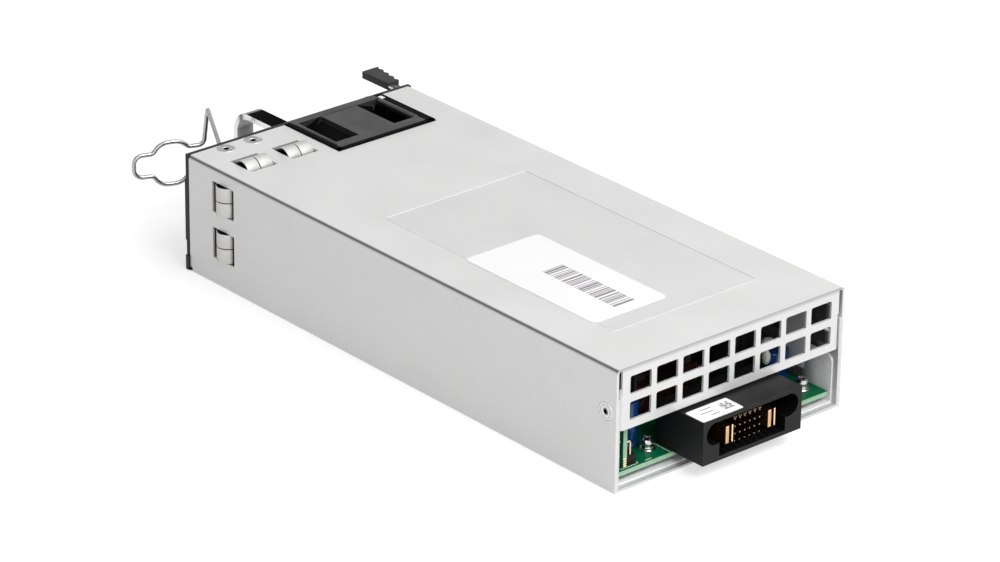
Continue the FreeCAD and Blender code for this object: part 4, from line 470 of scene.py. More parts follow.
def addTurned(name, rings, sides, apex=0.0, hollow=False):
    # a round body at the origin: a circle pulled up ring by ring, each ring a radius and a height
    radius, height = rings[0]
    deselectAll()
    bpy.ops.mesh.primitive_circle_add(vertices=sides, radius=radius * mm, location=at(0, 0, height),
                                      fill_type="NOTHING" if hollow else "NGON")
    piece = startPiece(name)
    settle(piece)

    def pullRings(piece):
        bpy.ops.mesh.select_mode(type="EDGE" if hollow else "FACE")
        selectMesh()
        for (radius, height), (nextRadius, nextHeight) in zip(rings, rings[1:]):
            rise, grow = (nextHeight - height) * mm, nextRadius / radius
            pullOut((0, 0, rise))
            bpy.ops.transform.resize(value=(grow, grow, 1), center_override=(0, 0, 0))
        if apex:
            pullOut((0, 0, apex * mm))
            bpy.ops.mesh.merge(type="CENTER")
        faceOutward(piece)

    editing(piece, pullRings)
    return piece


def addSection(name, low, high):
    # an upright face in the plane of X and Z, between two corners in millimetres
    deselectAll()
    spot = at((low[0] + high[0]) / 2, 0, (low[1] + high[1]) / 2)
    bpy.ops.mesh.primitive_plane_add(size=mm, location=spot, rotation=(math.radians(90), 0, 0))
    piece = startPiece(name)
    piece.scale = (high[0] - low[0], high[1] - low[1], 1)
    settle(piece)
    return piece


# the casing's side and top, and the limits of the faces that look at its middle, in millimetres
casing = {"side": 46.0, "top": 40.0}
shellLook = {"roof": 37.0, "floor": 3.0, "floorHalf": 44.6, "wall": (43.5, 45.6), "end": 99.5, "endHalf": 45.0}


def facesInward(centre, normal):
    x, y, z = centre / mm
    inner, outer = shellLook["wall"]
    roof = normal.z < -0.5 and z > shellLook["roof"]
    floor = normal.z > 0.5 and z < shellLook["floor"] and abs(x) < shellLook["floorHalf"]
    wall = normal.x * x < 0 and abs(normal.x) > 0.5 and inner < abs(x) < outer
    end = (normal.y * y < 0 and abs(normal.y) > 0.5 and abs(y) > shellLook["end"]
           and abs(x) < shellLook["endHalf"])
    return roof or floor or wall or end


mouthLow, mouthHigh = (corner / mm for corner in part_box("output_connector"))
mouthWall = 0.6


def mouthFaces(centre, normal):
    # the inside of the connector's mouth
    x, y, z = centre / mm
    wide = mouthLow.x + mouthWall < x < mouthHigh.x - mouthWall
    tall = mouthLow.z + mouthWall < z < mouthHigh.z - mouthWall
    return wide and tall and mouthLow.y + mouthWall < y < mouthHigh.y - 0.5


def paintFaces(piece, finish, test):
    piece.data.materials.append(materials[finish])
    for face in piece.data.polygons:
        if test(face.center, face.normal):
            face.material_index = len(piece.data.materials) - 1


# openings round the spring clips, a little longer than the clips
slotLook = {"clip": 10.0, "rear": 0.5, "front": 0.1, "side": 45.5, "sideHalf": 1.2, "sideGap": 0.3,
            "topGap": (0.1, 0.5), "topLevels": (38.0, 41.0)}


def cutSlots(piece):
    low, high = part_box("emi_fingers_top")
    y0, y1 = low.y / mm - slotLook["rear"], high.y / mm + slotLook["front"]
    clip, half, gap = slotLook["clip"], slotLook["sideHalf"], slotLook["sideGap"]
    holes = [addBlock("slot", (x - slotLook["topGap"][0], y0, slotLook["topLevels"][0]),
                      (x + clip + slotLook["topGap"][1], y1, slotLook["topLevels"][1]))
             for x in (low.x / mm, high.x / mm - clip)]
    low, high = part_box("emi_fingers_right")
    for z in (low.z / mm, high.z / mm - clip):
        for x in (slotLook["side"], -slotLook["side"]):
            holes.append(addBlock("slot", (x - half, y0, z - gap), (x + half, y1, z + clip + gap)))
    cutAway(piece, holes)


def refinedCopy(node, look):
    piece = bpy.data.objects.new(look["name"], nodes[node].data.copy())
    bpy.context.scene.collection.objects.link(piece)

    def merge(piece):
        selectMesh()
        bpy.ops.mesh.remove_doubles(threshold=1e-6)
        bpy.ops.mesh.dissolve_limited(angle_limit=math.radians(0.5))

    editing(piece, merge)
    if piece.data.has_custom_normals:
        bpy.ops.mesh.customdata_custom_splitnormals_clear()
    if look.get("change"):
        look["change"](piece)
    if look["bevel"]:
        softenEdges(piece, look["bevel"], sharp=40)
    applyModifier(piece, "TRIANGULATE")
    dress(piece, look["finish"], look["smooth"], (node,), bodyOf[node])
    for finish, test in look.get("faces", ()):
        paintFaces(piece, finish, test)


# CAD pieces that are seen close: a merged copy with softened edges stands for each
refinements = {
    # the shell's inner faces take a darker copy of the steel as painted shade
    "top_cover": dict(name="casingCover", finish="caseSteel", bevel=0.10, smooth=25, change=cutSlots,
        faces=(("caseInsideShaded", facesInward),)),
    "base_tray": dict(name="casingTray", finish="traySteel", bevel=0.10, smooth=25,
        faces=(("trayInsideShaded", facesInward),)),
    "front_panel": dict(name="facePanel", finish="panelBlack", bevel=0.10, smooth=25),
    "cover_rivets": dict(name="coverRivets", finish="rivetSteel", bevel=0.08, smooth=30),
    "insulator_tray": dict(name="insulatorSheet", finish="milkyFilm", bevel=0.08, smooth=30),
    # the connector's mouth and the fan's pockets take near black as painted shade
    "output_connector": dict(name="connectorBody", finish="connectorBlack", bevel=0.15, smooth=30,
        faces=(("shadeBlack", mouthFaces),)),
    "fan_frame": dict(name="fanHousing", finish="fanPlastic", bevel=0.35, smooth=30,
        faces=(("shadeBlack", lambda centre, normal: 28.0 < centre.z / mm < 38.6),)),
    "fan_rotor": dict(name="fanWheel", finish="fanPlastic", bevel=0.0, smooth=35),
    "inlet_housing": dict(name="inletBody", finish="connectorBlack", bevel=0.2, smooth=30),
    "inlet_contacts": dict(name="inletPins", finish="goldPlate", bevel=0.3, smooth=30),
    "cord_bail": dict(name="wireBail", finish="bailWire", bevel=0.0, smooth=50),
    # the handle's top faces carry a painted dark reflection and its inner faces a painted pale one
    "pull_handle": dict(name="strapHandle", finish="handleSteel", bevel=0.25, smooth=30,
        faces=(("handleDarkReflection", lambda centre, normal: normal.z > 0.2 and centre.z / mm > 25),
               ("handlePaleReflection", lambda centre, normal: normal.y > 0.5))),
    "handle_rivets": dict(name="handleRivets", finish="rivetSteel", bevel=0.15, smooth=35),
    "latch_lever": dict(name="latchArm", finish="screwZinc", bevel=0.1, smooth=30),
    "latch_grip": dict(name="thumbGrip", finish="gripPlastic", bevel=0.2, smooth=30),
    "status_light": dict(name="statusLens", finish="lightLens", bevel=0.5, smooth=50),
}
for node, look in refinements.items():
    refinedCopy(node, look)
print("close pieces refined")

# CAD pieces that keep their mesh and only get a finish
plainNodes = {
    "boardGreen": ("main_board",),
    "screwZinc": ("board_posts", "fan_shaft", "fan_bearings", "latch_pivot"),
    "ferriteDark": ("output_choke_core", "boost_choke_core", "filter_choke_core", "transformer_core",
                    "moulded_choke"),
    "copperCoil": ("output_choke_winding", "boost_choke_winding", "filter_choke_winding", "fan_stator"),
    "tapeYellow": ("transformer_winding",),
    "sinkMetal": ("output_heatsink", "primary_heatsink"),
    "blackSleeve": ("bulk_capacitors", "inrush_relay"),
    "connectorBlack": ("power_transistors", "bridge_rectifier"),
    "paleBox": ("film_capacitors", "line_fuse"),
}
for finish, members in plainNodes.items():
    for node in members:
        nodes[node].data.materials.clear()
        nodes[node].data.materials.append(materials[finish])
print("inner pieces finished")

# pan head screws with a cross recess, split lock washers and flat washers
screwLook = {
    "head": 2.05, "crown": 2.0, "neck": 1.2, "collar": 1.8, "shank": 1.0, "edge": 0.06, "sides": 40,
    "crossLong": 1.45, "crossThin": 0.72, "crossDeep": 1.0, "crossTop": 0.4, "crossTaper": 0.72,
    "lockInner": 1.05, "lockOuter": 2.2, "lockThick": 0.8, "lockTurn": 342, "lockRise": 0.1, "lockSeat": 0.6,
    "lockEdge": 0.07, "flat": 2.55, "flatThick": 0.6, "flatSides": 48, "bore": 1.1, "end": 1.0,
    "fanGrow": 1.4, "fanEnd": 1.6, "shift": (0.3, -0.9), "smooth": 32,
}


def nodeSolids(node):
    # boxes round a node's loose faces, largest first, without those whose middle a kept box holds;
    # a plain solid gives one box, a bent or stepped one gives several
    mesh = nodes[node].data
    parent = list(range(len(mesh.vertices)))

    def rootOf(i):
        while parent[i] != i:
            parent[i] = parent[parent[i]]
            i = parent[i]
        return i

    for edge in mesh.edges:
        a, b = (rootOf(i) for i in edge.vertices)
        parent[a] = b
    groups = {}
    for vertex in mesh.vertices:
        key = tuple(round(c, 6) for c in vertex.co)
        groups.setdefault(rootOf(vertex.index), []).append(key)
    boxes = [[Vector([pick(p[i] for p in points) for i in range(3)]) for pick in (min, max)]
             for points in groups.values()]
    merged = []
    for low, high in sorted(boxes, key=lambda b: -(b[1] - b[0]).length):
        middle = (low + high) / 2
        if not any(all(o[0][i] - 1e-5 <= middle[i] <= o[1][i] + 1e-5 for i in range(3)) for o in merged):
            merged.append([low, high])
    return merged


def addScrew(length):
    # upright, the underside of its head at the origin, with a cross cut into the crown
    head, crown, neck = screwLook["head"], screwLook["crown"], screwLook["neck"]
    collar, shank = screwLook["collar"], screwLook["shank"]
    screw = addTurned("screw", [
        (shank, -length), (shank, -0.56), (neck, -0.56), (collar, -0.5), (collar, -0.18), (neck, -0.14),
        (neck, 0.0), (head * 0.97, 0.0), (head, crown * 0.12), (head, crown * 0.55),
        (head * 0.88, crown * 0.82), (head * 0.64, crown * 0.97),
    ], screwLook["sides"], crown * 0.03)
    long, thin = screwLook["crossLong"], screwLook["crossThin"] / 2
    low, high = crown - screwLook["crossDeep"], crown + screwLook["crossTop"]
    arms = [addBlock("arm", (-a, -b, low), (a, b, high)) for a, b in ((long, thin), (thin, long))]

    def narrowEnd(arm):
        pickFaces(arm, lambda centre, normal: normal.z < -0.5)
        taper = screwLook["crossTaper"]
        bpy.ops.transform.resize(value=(taper, taper, 1.0), center_override=(0, 0, 0))

    for arm in arms:
        editing(arm, narrowEnd)
    cutAway(screw, arms, use_self=True)
    softenEdges(screw, screwLook["edge"], sharp=50)
    return screw


def addLockWasher():
    # a square wire wound once, its ends a little apart and one above the other
    piece = addSection("lock", (screwLook["lockInner"], 0), (screwLook["lockOuter"], screwLook["lockThick"]))
    applyModifier(piece, "SCREW", axis="Z", angle=math.radians(screwLook["lockTurn"]),
                  screw_offset=screwLook["lockRise"] * mm, steps=36, render_steps=36,
                  use_merge_vertices=False, use_normal_calculate=True)

    def closeEnds(piece):
        selectMesh()
        bpy.ops.mesh.remove_doubles(threshold=1e-6)
        bpy.ops.mesh.select_all(action="DESELECT")
        bpy.ops.mesh.select_mode(type="EDGE")
        bpy.ops.mesh.select_non_manifold()
        bpy.ops.mesh.fill_holes(sides=8)
        faceOutward(piece)

    editing(piece, closeEnds)
    softenEdges(piece, screwLook["lockEdge"], 2, 40)
    return piece


def makeBoardScrews():
    flat, thick, bore, neck = (screwLook[key] for key in ("flat", "flatThick", "bore", "neck"))
    seats = []
    for low, high in nodeSolids("flat_washers"):
        x, y = ((low + high) / 2 / mm)[:2]
        right, back = screwLook["shift"] if y > 0 else (0, 0)
        seats.append((x + right, y + back))
        base = low.z / mm
    flatTop = base + thick
    lockTop = flatTop + screwLook["lockThick"] + screwLook["lockSeat"]
    rings = [(bore, 0.0), (flat, 0.0), (flat, thick - 0.1), (flat - 0.1, thick), (neck, thick),
             (bore, 0.4), (bore, 0.0)]
    washer = addTurned("flat", rings, screwLook["flatSides"], hollow=True)
    for name, master, level, node in (
        ("flatWasherSet", washer, base, "flat_washers"),
        ("lockWasherSet", addLockWasher(), flatTop, "lock_washers"),
        ("boardScrewSet", addScrew(lockTop - screwLook["end"]), lockTop, "board_screws"),
    ):
        piece = placeCopies(name, master, [(x, y, level) for x, y in seats])
        dress(piece, "boltZinc", screwLook["smooth"], (node,))


def makeFanScrews():
    low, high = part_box("fan_screws")
    half = (high.x - low.x) / 2 / mm
    x, face = (low.x + high.x) / 2 / mm, low.y / mm + screwLook["crown"]
    spots = [(x, face, z) for z in (low.z / mm + half, high.z / mm - half)]
    grow = screwLook["fanGrow"]
    screws = placeCopies("fanScrewSet", addScrew(high.y / mm - screwLook["fanEnd"] - face), spots,
                         (math.radians(90), 0, 0), (grow, grow, 1))
    dress(screws, "screwZinc", screwLook["smooth"], ("fan_screws",))


makeBoardScrews()
makeFanScrews()
print("screws and washers made")

# spring clips: two arched leaves side by side in each slot
clipLook = {"start": 0.75, "end": 1.55, "rise": 1.65, "foot": 0.9, "thick": 0.28, "gap": 0.34, "leaf": 4.8,
            "steps": 10, "curve": 0.8, "edge": 0.06, "smooth": 35}


def addLeaf(length):
    # an arched strip along Y with its crown toward +X, pulled out step by step
    rise, foot, steps = clipLook["rise"], clipLook["foot"], clipLook["steps"]
    shares = [number / steps for number in range(steps + 1)]
    path = [(math.sin(math.pi * share) ** clipLook["curve"] * (rise + foot), length * share) for share in shares]
    leaf = addSection("leaf", (-foot - clipLook["thick"], 0), (-foot, clipLook["leaf"]))

    def pullAlong(leaf):
        bpy.ops.mesh.select_mode(type="FACE")
        selectMesh()
        for (x, y), (nextX, nextY) in zip(path, path[1:]):
            pullOut(at(nextX - x, nextY - y, 0))
        faceOutward(leaf)
        bpy.ops.mesh.dissolve_limited(angle_limit=math.radians(0.1))

    editing(leaf, pullAlong)
    softenEdges(leaf, clipLook["edge"], 2, 50)
    return leaf


def finishClips(name, leaves, finish, inward):
    node = "emi_fingers_" + name
    piece = joinInto(name + "Fingers", leaves)
    editing(piece, faceOutward)
    dress(piece, finish, clipLook["smooth"], (node,))
    # painted shade: the inward faces of the leaves, the shaded gap under each arch
    paintFaces(piece, "shadeGrey", inward)


def leafStarts(low, high):
    step = clipLook["leaf"] + clipLook["gap"]
    return [start / mm + number * step for start in (low, high - slotLook["clip"] * mm) for number in (0, 1)]


def makeClips():
    low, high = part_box("emi_fingers_right")
    top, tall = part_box("emi_fingers_top")
    y0, y1 = low.y / mm + clipLook["start"], high.y / mm - clipLook["end"]
    leaf = addLeaf(y1 - y0)
    for name, side in (("right", 1), ("left", -1)):
        leaves = [copyTo(leaf, (side * casing["side"], y0, z), grow=(side, 1, 1)) for z in leafStarts(low.z, high.z)]
        finishClips(name, leaves, "clipNickel", lambda centre, normal: normal.x * side < -0.3)
    leaves = [copyTo(leaf, (x + clipLook["leaf"], y0, casing["top"]), (0, math.radians(-90), 0))
              for x in leafStarts(top.x, tall.x)]
    bpy.data.objects.remove(leaf)
    finishClips("top", leaves, "clipNickelShaded", lambda centre, normal: normal.z < -0.3)


makeClips()
print("spring clips made")

# small details: rivet holes and rings, the gaps and rails round the fan, the seam behind the panel; the holes, rings
# and gaps are painted shade in near black
rivetLook = {"hole": 0.7, "deep": 0.1, "ring": 2.1, "line": 0.05}
fanLevel = 40.5
fanTrim = {
    "fanGapShade": dict(below=0.48, above=0.04, finish="shadeBlack",
        flats=[((5.15, -101.2), (6.75, -73.9)), ((-33.25, -101.6), (-30.35, -73.9)), ((-33.25, -75.2), (6.75, -73.9)),
        ((-30.5, -98.75), (-29.2, -97.3)), ((-20.4, -99.0), (-7.0, -98.85))]),
    "fanRails": dict(below=0.9, above=0.35, finish="railPlastic", smooth=40, bevel=0.6, segments=5,
        flats=[ ((3.7, -98.9), (5.3, -76.6)), ((-30.5, -98.3), (-28.6, -78.9))]),
    "fanCorner": dict(below=0.1, above=0.06, finish="labelPaper", flats=[((-32.0, -99.9), (-30.5, -97.7))]),
}
seams = [((-46.02, -102.05, 39.0), (46.02, -101.55, 40.03)), ((45.0, -102.05, 0.4), (46.03, -101.45, 39.6)),
         ((-46.03, -102.05, 0.4), (-45.0, -101.45, 39.6)), ((45.2, -102.05, 0.02), (46.06, -100.4, 1.3))]
innerPlate = ((-44.15, 79.6, 8.0), (-43.75, 88.2, 36.0))


def makeRivetHoles():
    deselectAll()
    bpy.ops.mesh.primitive_cylinder_add(vertices=24, radius=rivetLook["hole"] * mm, depth=rivetLook["deep"] * mm)
    hole = startPiece("hole")
    bpy.ops.mesh.primitive_torus_add(major_radius=rivetLook["ring"] * mm, major_segments=40,
                                     minor_radius=rivetLook["line"] * mm, minor_segments=6)
    mark = joinInto("mark", [hole, startPiece("ring")])
    marks = []
    for low, high in nodeSolids("cover_rivets"):
        x, y, z = (low + high) / 2 / mm
        side = 1 if x > 0 else -1
        if (high - low).z < (high - low).x:
            marks.append(copyTo(mark, (x, y, high.z / mm)))
        else:
            marks.append(copyTo(mark, (side * casing["side"], y, z), (0, math.radians(90 * side), 0)))
    bpy.data.objects.remove(mark)
    dress(joinInto("rivetHoles", marks), "shadeBlack", 30)


def makeFanTrim():
    for name, look in fanTrim.items():
        bottom, top = fanLevel - look["below"], fanLevel + look["above"]
        corners = [((*low, bottom), (*high, top)) for low, high in look["flats"]]
        addBlocks(name, corners, look["finish"], look.get("smooth", 0),
                  bevel=look.get("bevel", 0.0), segments=look.get("segments", 1))


makeRivetHoles()
makeFanTrim()
addBlocks("panelSeam", seams, "panelBlack")
addBlocks("innerPlate", [innerPlate], "plateGrey", bevel=0.05)
print("small details made")

# square pins, a smaller square set in at the tip
pinLook = {"half": 0.2, "tip": 0.34, "back": 91.0, "drop": 0.3}


def makePins():
    half, pins = pinLook["half"], []
    for low, high in nodeSolids("signal_pins"):
        x, z = (low.x + high.x) / 2 / mm, high.z / mm - pinLook["drop"]
        pin = addBlock("pin", (x - half, pinLook["back"], z - half), (x + half, high.y / mm, z + half))

        def setIn(pin):
            pickFaces(pin, lambda centre, normal: normal.y > 0.5)
            share = pinLook["tip"] / (2 * half)
            pullOut((0, 0, 0))
            bpy.ops.transform.resize(value=(share, 1, share), center_override=(x * mm, high.y, z * mm))

        editing(pin, setIn)
        pins.append(pin)
    dress(joinInto("connectorPins", pins), "goldShaded", 0, ("signal_pins",))


# flat blades: the nearer of each pair wide and warm, the other narrow and pale
bladeLook = {"low": 7.9, "high": 13.5, "back": 93.0, "tip": 110.3, "bevel": 0.12, "smooth": 30}
bladeKinds = {
    "warmBlades": dict(spots=(8.9, -8.3), half=0.62, finish="bladeWarm", stands=("power_blades",)),
    "paleBlades": dict(spots=(6.87, -10.3), half=0.28, finish="goldPlate", stands=()),
}


def makeBlades():
    for name, look in bladeKinds.items():
        corners = [((x - look["half"], bladeLook["back"], bladeLook["low"]),
                    (x + look["half"], bladeLook["tip"], bladeLook["high"])) for x in look["spots"]]
        addBlocks(name, corners, look["finish"], bladeLook["smooth"], look["stands"],
                  bladeLook["bevel"])


makePins()
makeBlades()
print("pins and blades made")

# the upright card at the board's side with its pin header, and the capacitors behind the grille
boardTop = 4.6
cardLook = {"x": 37.9, "thick": 1.6, "low": 4.9, "edgeLow": 7.8, "pads": (5.0, 5.75, 6.5, 7.25),
            "marks": ((1.4, 7.9), (1.9, 10.2), (1.2, 12.6), (2.6, 12.6)), "wires": (96.9, 94.9, 92.9, 90.9)}
canLooks = {
    "filterCan": dict(spots=[(27.85, 86.8)], radius=3.5, top=19.5, finish="blueSleeve", stands=("filter_capacitor",)),
    "outputCans": dict(spots=[(-38.4, 81.2)], radius=4.1, top=13.8, finish="blueSleeve",
        stands=("output_capacitors",)),
    "tallCans": dict(spots=[(-26.5, 60.0), (-26.5, 71.0)], radius=5.0, top=26.1, finish="blackSleeve", stands=()),
}


def makeCard():
    low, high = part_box("control_card")
    y0, y1, top = low.y / mm, high.y / mm, high.z / mm
    x, far = cardLook["x"], cardLook["x"] + cardLook["thick"]
    card = ((x, y0, cardLook["low"]), (far, y1, top))
    addBlocks("controlCard", [card], "boardGreen", 0, ("control_card",), 0.08)
    edge = ((x + 0.05, y1 - 0.1, cardLook["edgeLow"]), (far - 0.05, y1 + 0.05, top - 0.1))
    addBlocks("cardEdge", [edge], "boardEdge")
    marks = [((far - 0.02, y1 - back - 0.9, z), (far + 0.03, y1 - back, z + 0.7)) for back, z in cardLook["marks"]]
    addBlocks("cardMarks", marks, "silkWhite")
    pads = [((x + 0.2, y1 - 0.1, z), (far - 0.2, y1 + 0.12, z + 0.5)) for z in cardLook["pads"]]
    addBlocks("cardPads", pads, "goldPlate", 30, (), 0.08)
    header = ((x - 4.2, 89.2, boardTop), (x - 0.3, 97.6, 7.6))
    addBlocks("pinHeader", [header], "connectorBlack", 30, ("card_header",), 0.15, 2)
    wires = []
    for y in cardLook["wires"]:
        wires.append(((x - 2.5, y - 0.25, 7.4), (x - 2.0, y + 0.25, 12.4)))
        wires.append(((x - 2.5, y - 0.25, 11.9), (x - 0.02, y + 0.25, 12.4)))
    addBlocks("headerWires", wires, "goldPlate", 30, ("header_pins",), 0.05)


def makeCans():
    for name, look in canLooks.items():
        radius, tall = look["radius"], look["top"] - boardTop
        can = addTurned("can", [
            (radius - 0.6, 0.0), (radius - 0.1, 0.3), (radius, 0.9), (radius - 0.35, 1.6), (radius, 2.2),
            (radius, tall - 0.6), (radius - 0.25, tall - 0.12), (radius - 0.8, tall), (radius - 1.1, tall - 0.25),
        ], 40)
        cans = placeCopies(name, can, [(x, y, boardTop) for x, y in look["spots"]])
        dress(cans, look["finish"], 35, look["stands"])


makeCard()
makeCans()
print("card and capacitors made")

# labels on the cover, bare of words
labels = {
    "filmThick": 0.10, "paperThick": 0.22, "film": ((-28.8, -24.2), (29.1, 81.7)), "filmCorner": 1.0,
    "paper": ((0.4, 15.0), (30.0, 73.9)), "corner": 2.0, "bars": ((9.6, 37.0), (17.8, 69.7)),
    "barUnit": 0.34, "barThick": 0.02, "inks": (1, 2, 1, 3, 1, 1, 2), "blanks": (1, 2, 1, 1, 3),
}


def makeLabels():
    top = casing["top"]
    base, bottom = top + labels["filmThick"], top + labels["paperThick"]
    film = addRounded("ratingFilm", *labels["film"], labels["filmCorner"], top, base)
    dress(film, "clearFilm", 30)
    (x0, y0), (x1, y1) = labels["film"]
    # painted highlight: a pale strip along the clear film's front edge; painted shade: a grey strip along its side
    # edge
    front = ((x0 + 0.4, y0 + 0.05, base - 0.05), (x1 - 0.4, y0 + 0.42, base + 0.02))
    addBlocks("filmFrontHighlight", [front], "labelPaper")
    side = ((x0 + 0.05, y0 + 0.6, base - 0.05), (x0 + 0.22, y1 - 0.6, base + 0.01))
    addBlocks("filmSideShade", [side], "shadeGrey")
    paper = addRounded("paperLabel", *labels["paper"], labels["corner"], top + labels["filmThick"] / 2, bottom)
    dress(paper, "labelPaper", 30)
    (x0, y0), (x1, y1) = labels["bars"]
    unit, inks, blanks = labels["barUnit"], labels["inks"], labels["blanks"]
    bars, y, number = [], y0, 0
    while y < y1 - 2 * unit:
        width = unit * inks[number * 3 % len(inks)]
        bars.append(((x0, y, bottom - 0.05), (x1, y + width, bottom + labels["barThick"])))
        y += width + unit * blanks[number * 2 % len(blanks)]
        number += 1
    addBlocks("labelBars", bars, "printInk")


# a small bare sticker on the connector: a plain pattern of small squares, and three plain strokes
sticker = {"low": (3.9, 103.7), "high": (20.2, 111.7), "corner": 0.6, "z": 18.8, "thick": 0.12, "cells": 8,
           "cell": 0.5, "cellSpot": (5.2, 105.4), "stroke": 0.45,
           "marks": ((11.6, 105.2, 4.2), (12.4, 107.2, 5.0), (11.6, 109.2, 3.0))}


def makeSticker():
    top = sticker["z"] + sticker["thick"]
    paper = addRounded("connectorSticker", sticker["low"], sticker["high"], sticker["corner"], sticker["z"], top)
    dress(paper, "labelPaper", 30)
    (x0, y0), size = sticker["cellSpot"], sticker["cell"]
    flats = []
    for row in range(sticker["cells"]):
        for column in range(sticker["cells"]):
            if (row * 3 + column * 5 + row * column) % 4 < 2:
                flats.append((x0 + column * size, y0 + row * size, size, size))
    flats += [(x, y, length, sticker["stroke"]) for x, y, length in sticker["marks"]]
    marks = [((x, y, top - 0.03), (x + long, y + wide, top + 0.015)) for x, y, long, wide in flats]
    addBlocks("stickerMarks", marks, "printInk")


makeLabels()
makeSticker()
print("labels laid")

# printed outlines on the main board, in millimetres: start, end
boardPrint = {
    "sink": 0.02, "thick": 0.03, "half": 0.125,
    "runs": [
        ((21.1, 91.0), (21.1, 98.7)), ((33.2, 94.8), (33.2, 98.1)), ((33.2, 98.1), (40.2, 98.1)),
        ((40.2, 97.5), (40.2, 98.1)), ((28.2, 98.2), (30.4, 98.2)), ((-20.3, 91.0), (-20.3, 98.7)),
        ((-27.4, 98.1), (-30.6, 98.1)), ((-24.0, 96.0), (-24.0, 98.4)),
    ],
}
# the board's bare cut edge at the rear
edgeStrip = ((-43.4, 98.98, 3.05), (43.4, 99.06, 4.48))
# silicone that fixes the output capacitors
silicone = [
    {"spot": (-33.0, 82.6, 13.2), "size": (1.5, 1.5, 2.7)},
    {"spot": (-34.6, 81.4, 17.6), "size": (2.2, 1.8, 1.2)},
]


def makeBoardPrint():
    half, runs = boardPrint["half"], []
    for (x0, y0), (x1, y1) in boardPrint["runs"]:
        runs.append(((min(x0, x1) - half, min(y0, y1) - half, boardTop - boardPrint["sink"]),
                     (max(x0, x1) + half, max(y0, y1) + half, boardTop + boardPrint["thick"])))
    addBlocks("boardPrint", runs, "silkWhite")


def makeSilicone():
    blobs = []
    for blob in silicone:
        deselectAll()
        bpy.ops.mesh.primitive_ico_sphere_add(subdivisions=3, radius=1.0, location=at(*blob["spot"]))
        piece = startPiece("blob")
        piece.scale = Vector(blob["size"]) * mm
        settle(piece)

        def lump(piece):
            selectMesh()
            bpy.ops.transform.vertex_random(offset=0.25 * mm, seed=4)
            bpy.ops.mesh.vertices_smooth(factor=0.5, repeat=2)

        editing(piece, lump)
        applyModifier(piece, "SUBSURF", levels=1, render_levels=1)
        blobs.append(piece)
    dress(joinInto("siliconeBlobs", blobs), "siliconeWhite", 60)


makeBoardPrint()
addBlocks("boardCutEdge", [edgeStrip], "boardEdge", bevel=0.02)
makeSilicone()
print("board details placed")

# studio: a pale floor, soft light and the camera
studio = {
    "floorSize": 8.0, "floorDrop": 0.0002, "ambient": 0.42, "floorGlow": 0.60, "floorShade": 0.5,
    "key": dict(spot=(0.0, 1.25, 1.45), size=1.3, watts=25.0),
    "side": dict(spot=(0.42, 0.38, 0.24), size=0.3, watts=0.6),
    "fill": dict(spot=(-0.9, 0.5, 1.5), size=1.4, watts=10.0),
    # dark corners of the room, which polished metal mirrors: towards, outer and inner cosine, depth
    "darks": [((0.42, -0.68, 0.60), 0.930, 0.985, 0.90), ((-0.60, -0.69, 0.42), 0.984, 0.995, 0.96),
              ((0.10, -0.98, 0.15), 0.900, 0.985, 0.75)],
}


def makeFloor():
    deselectAll()
    bpy.ops.mesh.primitive_plane_add(size=studio["floorSize"], location=(0, 0, -studio["floorDrop"]))
    floor = startPiece("studioFloor")
    material = bpy.data.materials.new("floorPale")
    material.use_nodes = True
    tree = material.node_tree
    tree.nodes.clear()
    diffuse = addNode(tree, "BsdfDiffuse", {"Color": (*[studio["floorShade"]] * 3, 1)})
    glow = addNode(tree, "Emission", {"Strength": mathNode(tree, "MULTIPLY", seenDirectly(tree), studio["floorGlow"])})
    both = addNode(tree, "AddShader", {0: diffuse.outputs[0], 1: glow.outputs[0]})
    addNode(tree, "OutputMaterial", {0: both.outputs[0]})
    floor.data.materials.append(material)


def seenDirectly(tree):
    # 1 for the rays that show the background: to the camera, mirrored, or through glass
    rays = addNode(tree, "LightPath").outputs
    seen = mathNode(tree, "MAXIMUM", rays["Is Camera Ray"], rays["Is Glossy Ray"])
    return mathNode(tree, "MAXIMUM", seen, rays["Is Transmission Ray"])


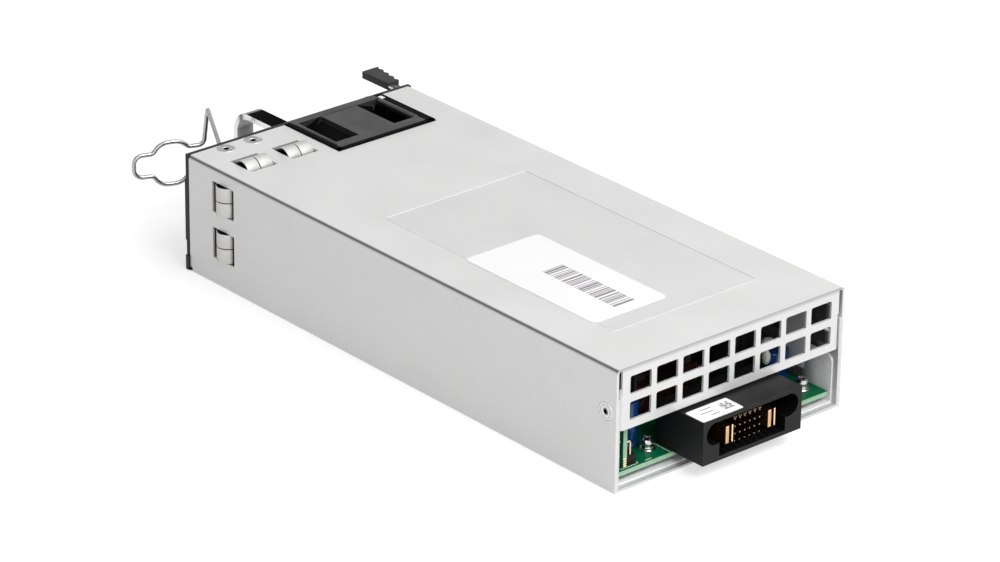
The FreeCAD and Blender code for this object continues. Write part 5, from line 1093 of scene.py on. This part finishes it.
def makeWorld():
    world = bpy.data.worlds.new("studioWorld")
    bpy.context.scene.world = world
    world.use_nodes = True
    tree = world.node_tree
    back = tree.nodes["Background"].inputs
    back["Color"].default_value = (1, 1, 1, 1)
    place = addNode(tree, "TexCoord").outputs["Generated"]
    shade = None
    for towards, outer, inner, depth in studio["darks"]:
        dot = addNode(tree, "VectorMath", {0: place, 1: Vector(towards).normalized()}, operation="DOT_PRODUCT")
        lobe = addNode(tree, "MapRange", {"Value": dot.outputs["Value"], "From Min": outer, "From Max": inner,
                                          "To Min": 1.0, "To Max": 1.0 - depth}, interpolation_type="SMOOTHSTEP")
        lit = lobe.outputs["Result"]
        shade = lit if shade is None else mathNode(tree, "MULTIPLY", shade, lit)
    camera = addNode(tree, "LightPath").outputs["Is Camera Ray"]
    level = mathNode(tree, "MAXIMUM", seenDirectly(tree), studio["ambient"])
    unseen = mathNode(tree, "SUBTRACT", 1.0, camera)
    shaded = mathNode(tree, "MULTIPLY", mathNode(tree, "MULTIPLY", level, shade), unseen)
    tree.links.new(mathNode(tree, "ADD", shaded, camera), back["Strength"])


def makeLamp(name, look):
    lamp = bpy.data.lights.new(name, "AREA")
    lamp.shape = "DISK"
    lamp.size = look["size"]
    lamp.energy = look["watts"]
    holder = bpy.data.objects.new(name, lamp)
    bpy.context.scene.collection.objects.link(holder)
    holder.location = look["spot"]
    holder.rotation_euler = (-Vector(look["spot"])).to_track_quat("-Z", "Y").to_euler()


makeFloor()
makeWorld()
for kind in ("key", "fill", "side"):
    makeLamp(kind + "Lamp", studio[kind])

viewpoint = {"spot": (0.893705, 1.023024, 0.645460), "turn": (65.2316, -0.6289, 139.2298), "lens": 173.255,
             "sensor": 36.0, "nearest": 0.05}
cameraData = bpy.data.cameras.new("studioCamera")
cameraData.lens = viewpoint["lens"]
cameraData.sensor_width = viewpoint["sensor"]
cameraData.clip_start = viewpoint["nearest"]
camera = bpy.data.objects.new("studioCamera", cameraData)
bpy.context.scene.collection.objects.link(camera)
camera.location = viewpoint["spot"]
camera.rotation_euler = [math.radians(angle) for angle in viewpoint["turn"]]
bpy.context.scene.camera = camera
bpy.context.scene.view_settings.view_transform = "Standard"
print("studio set")
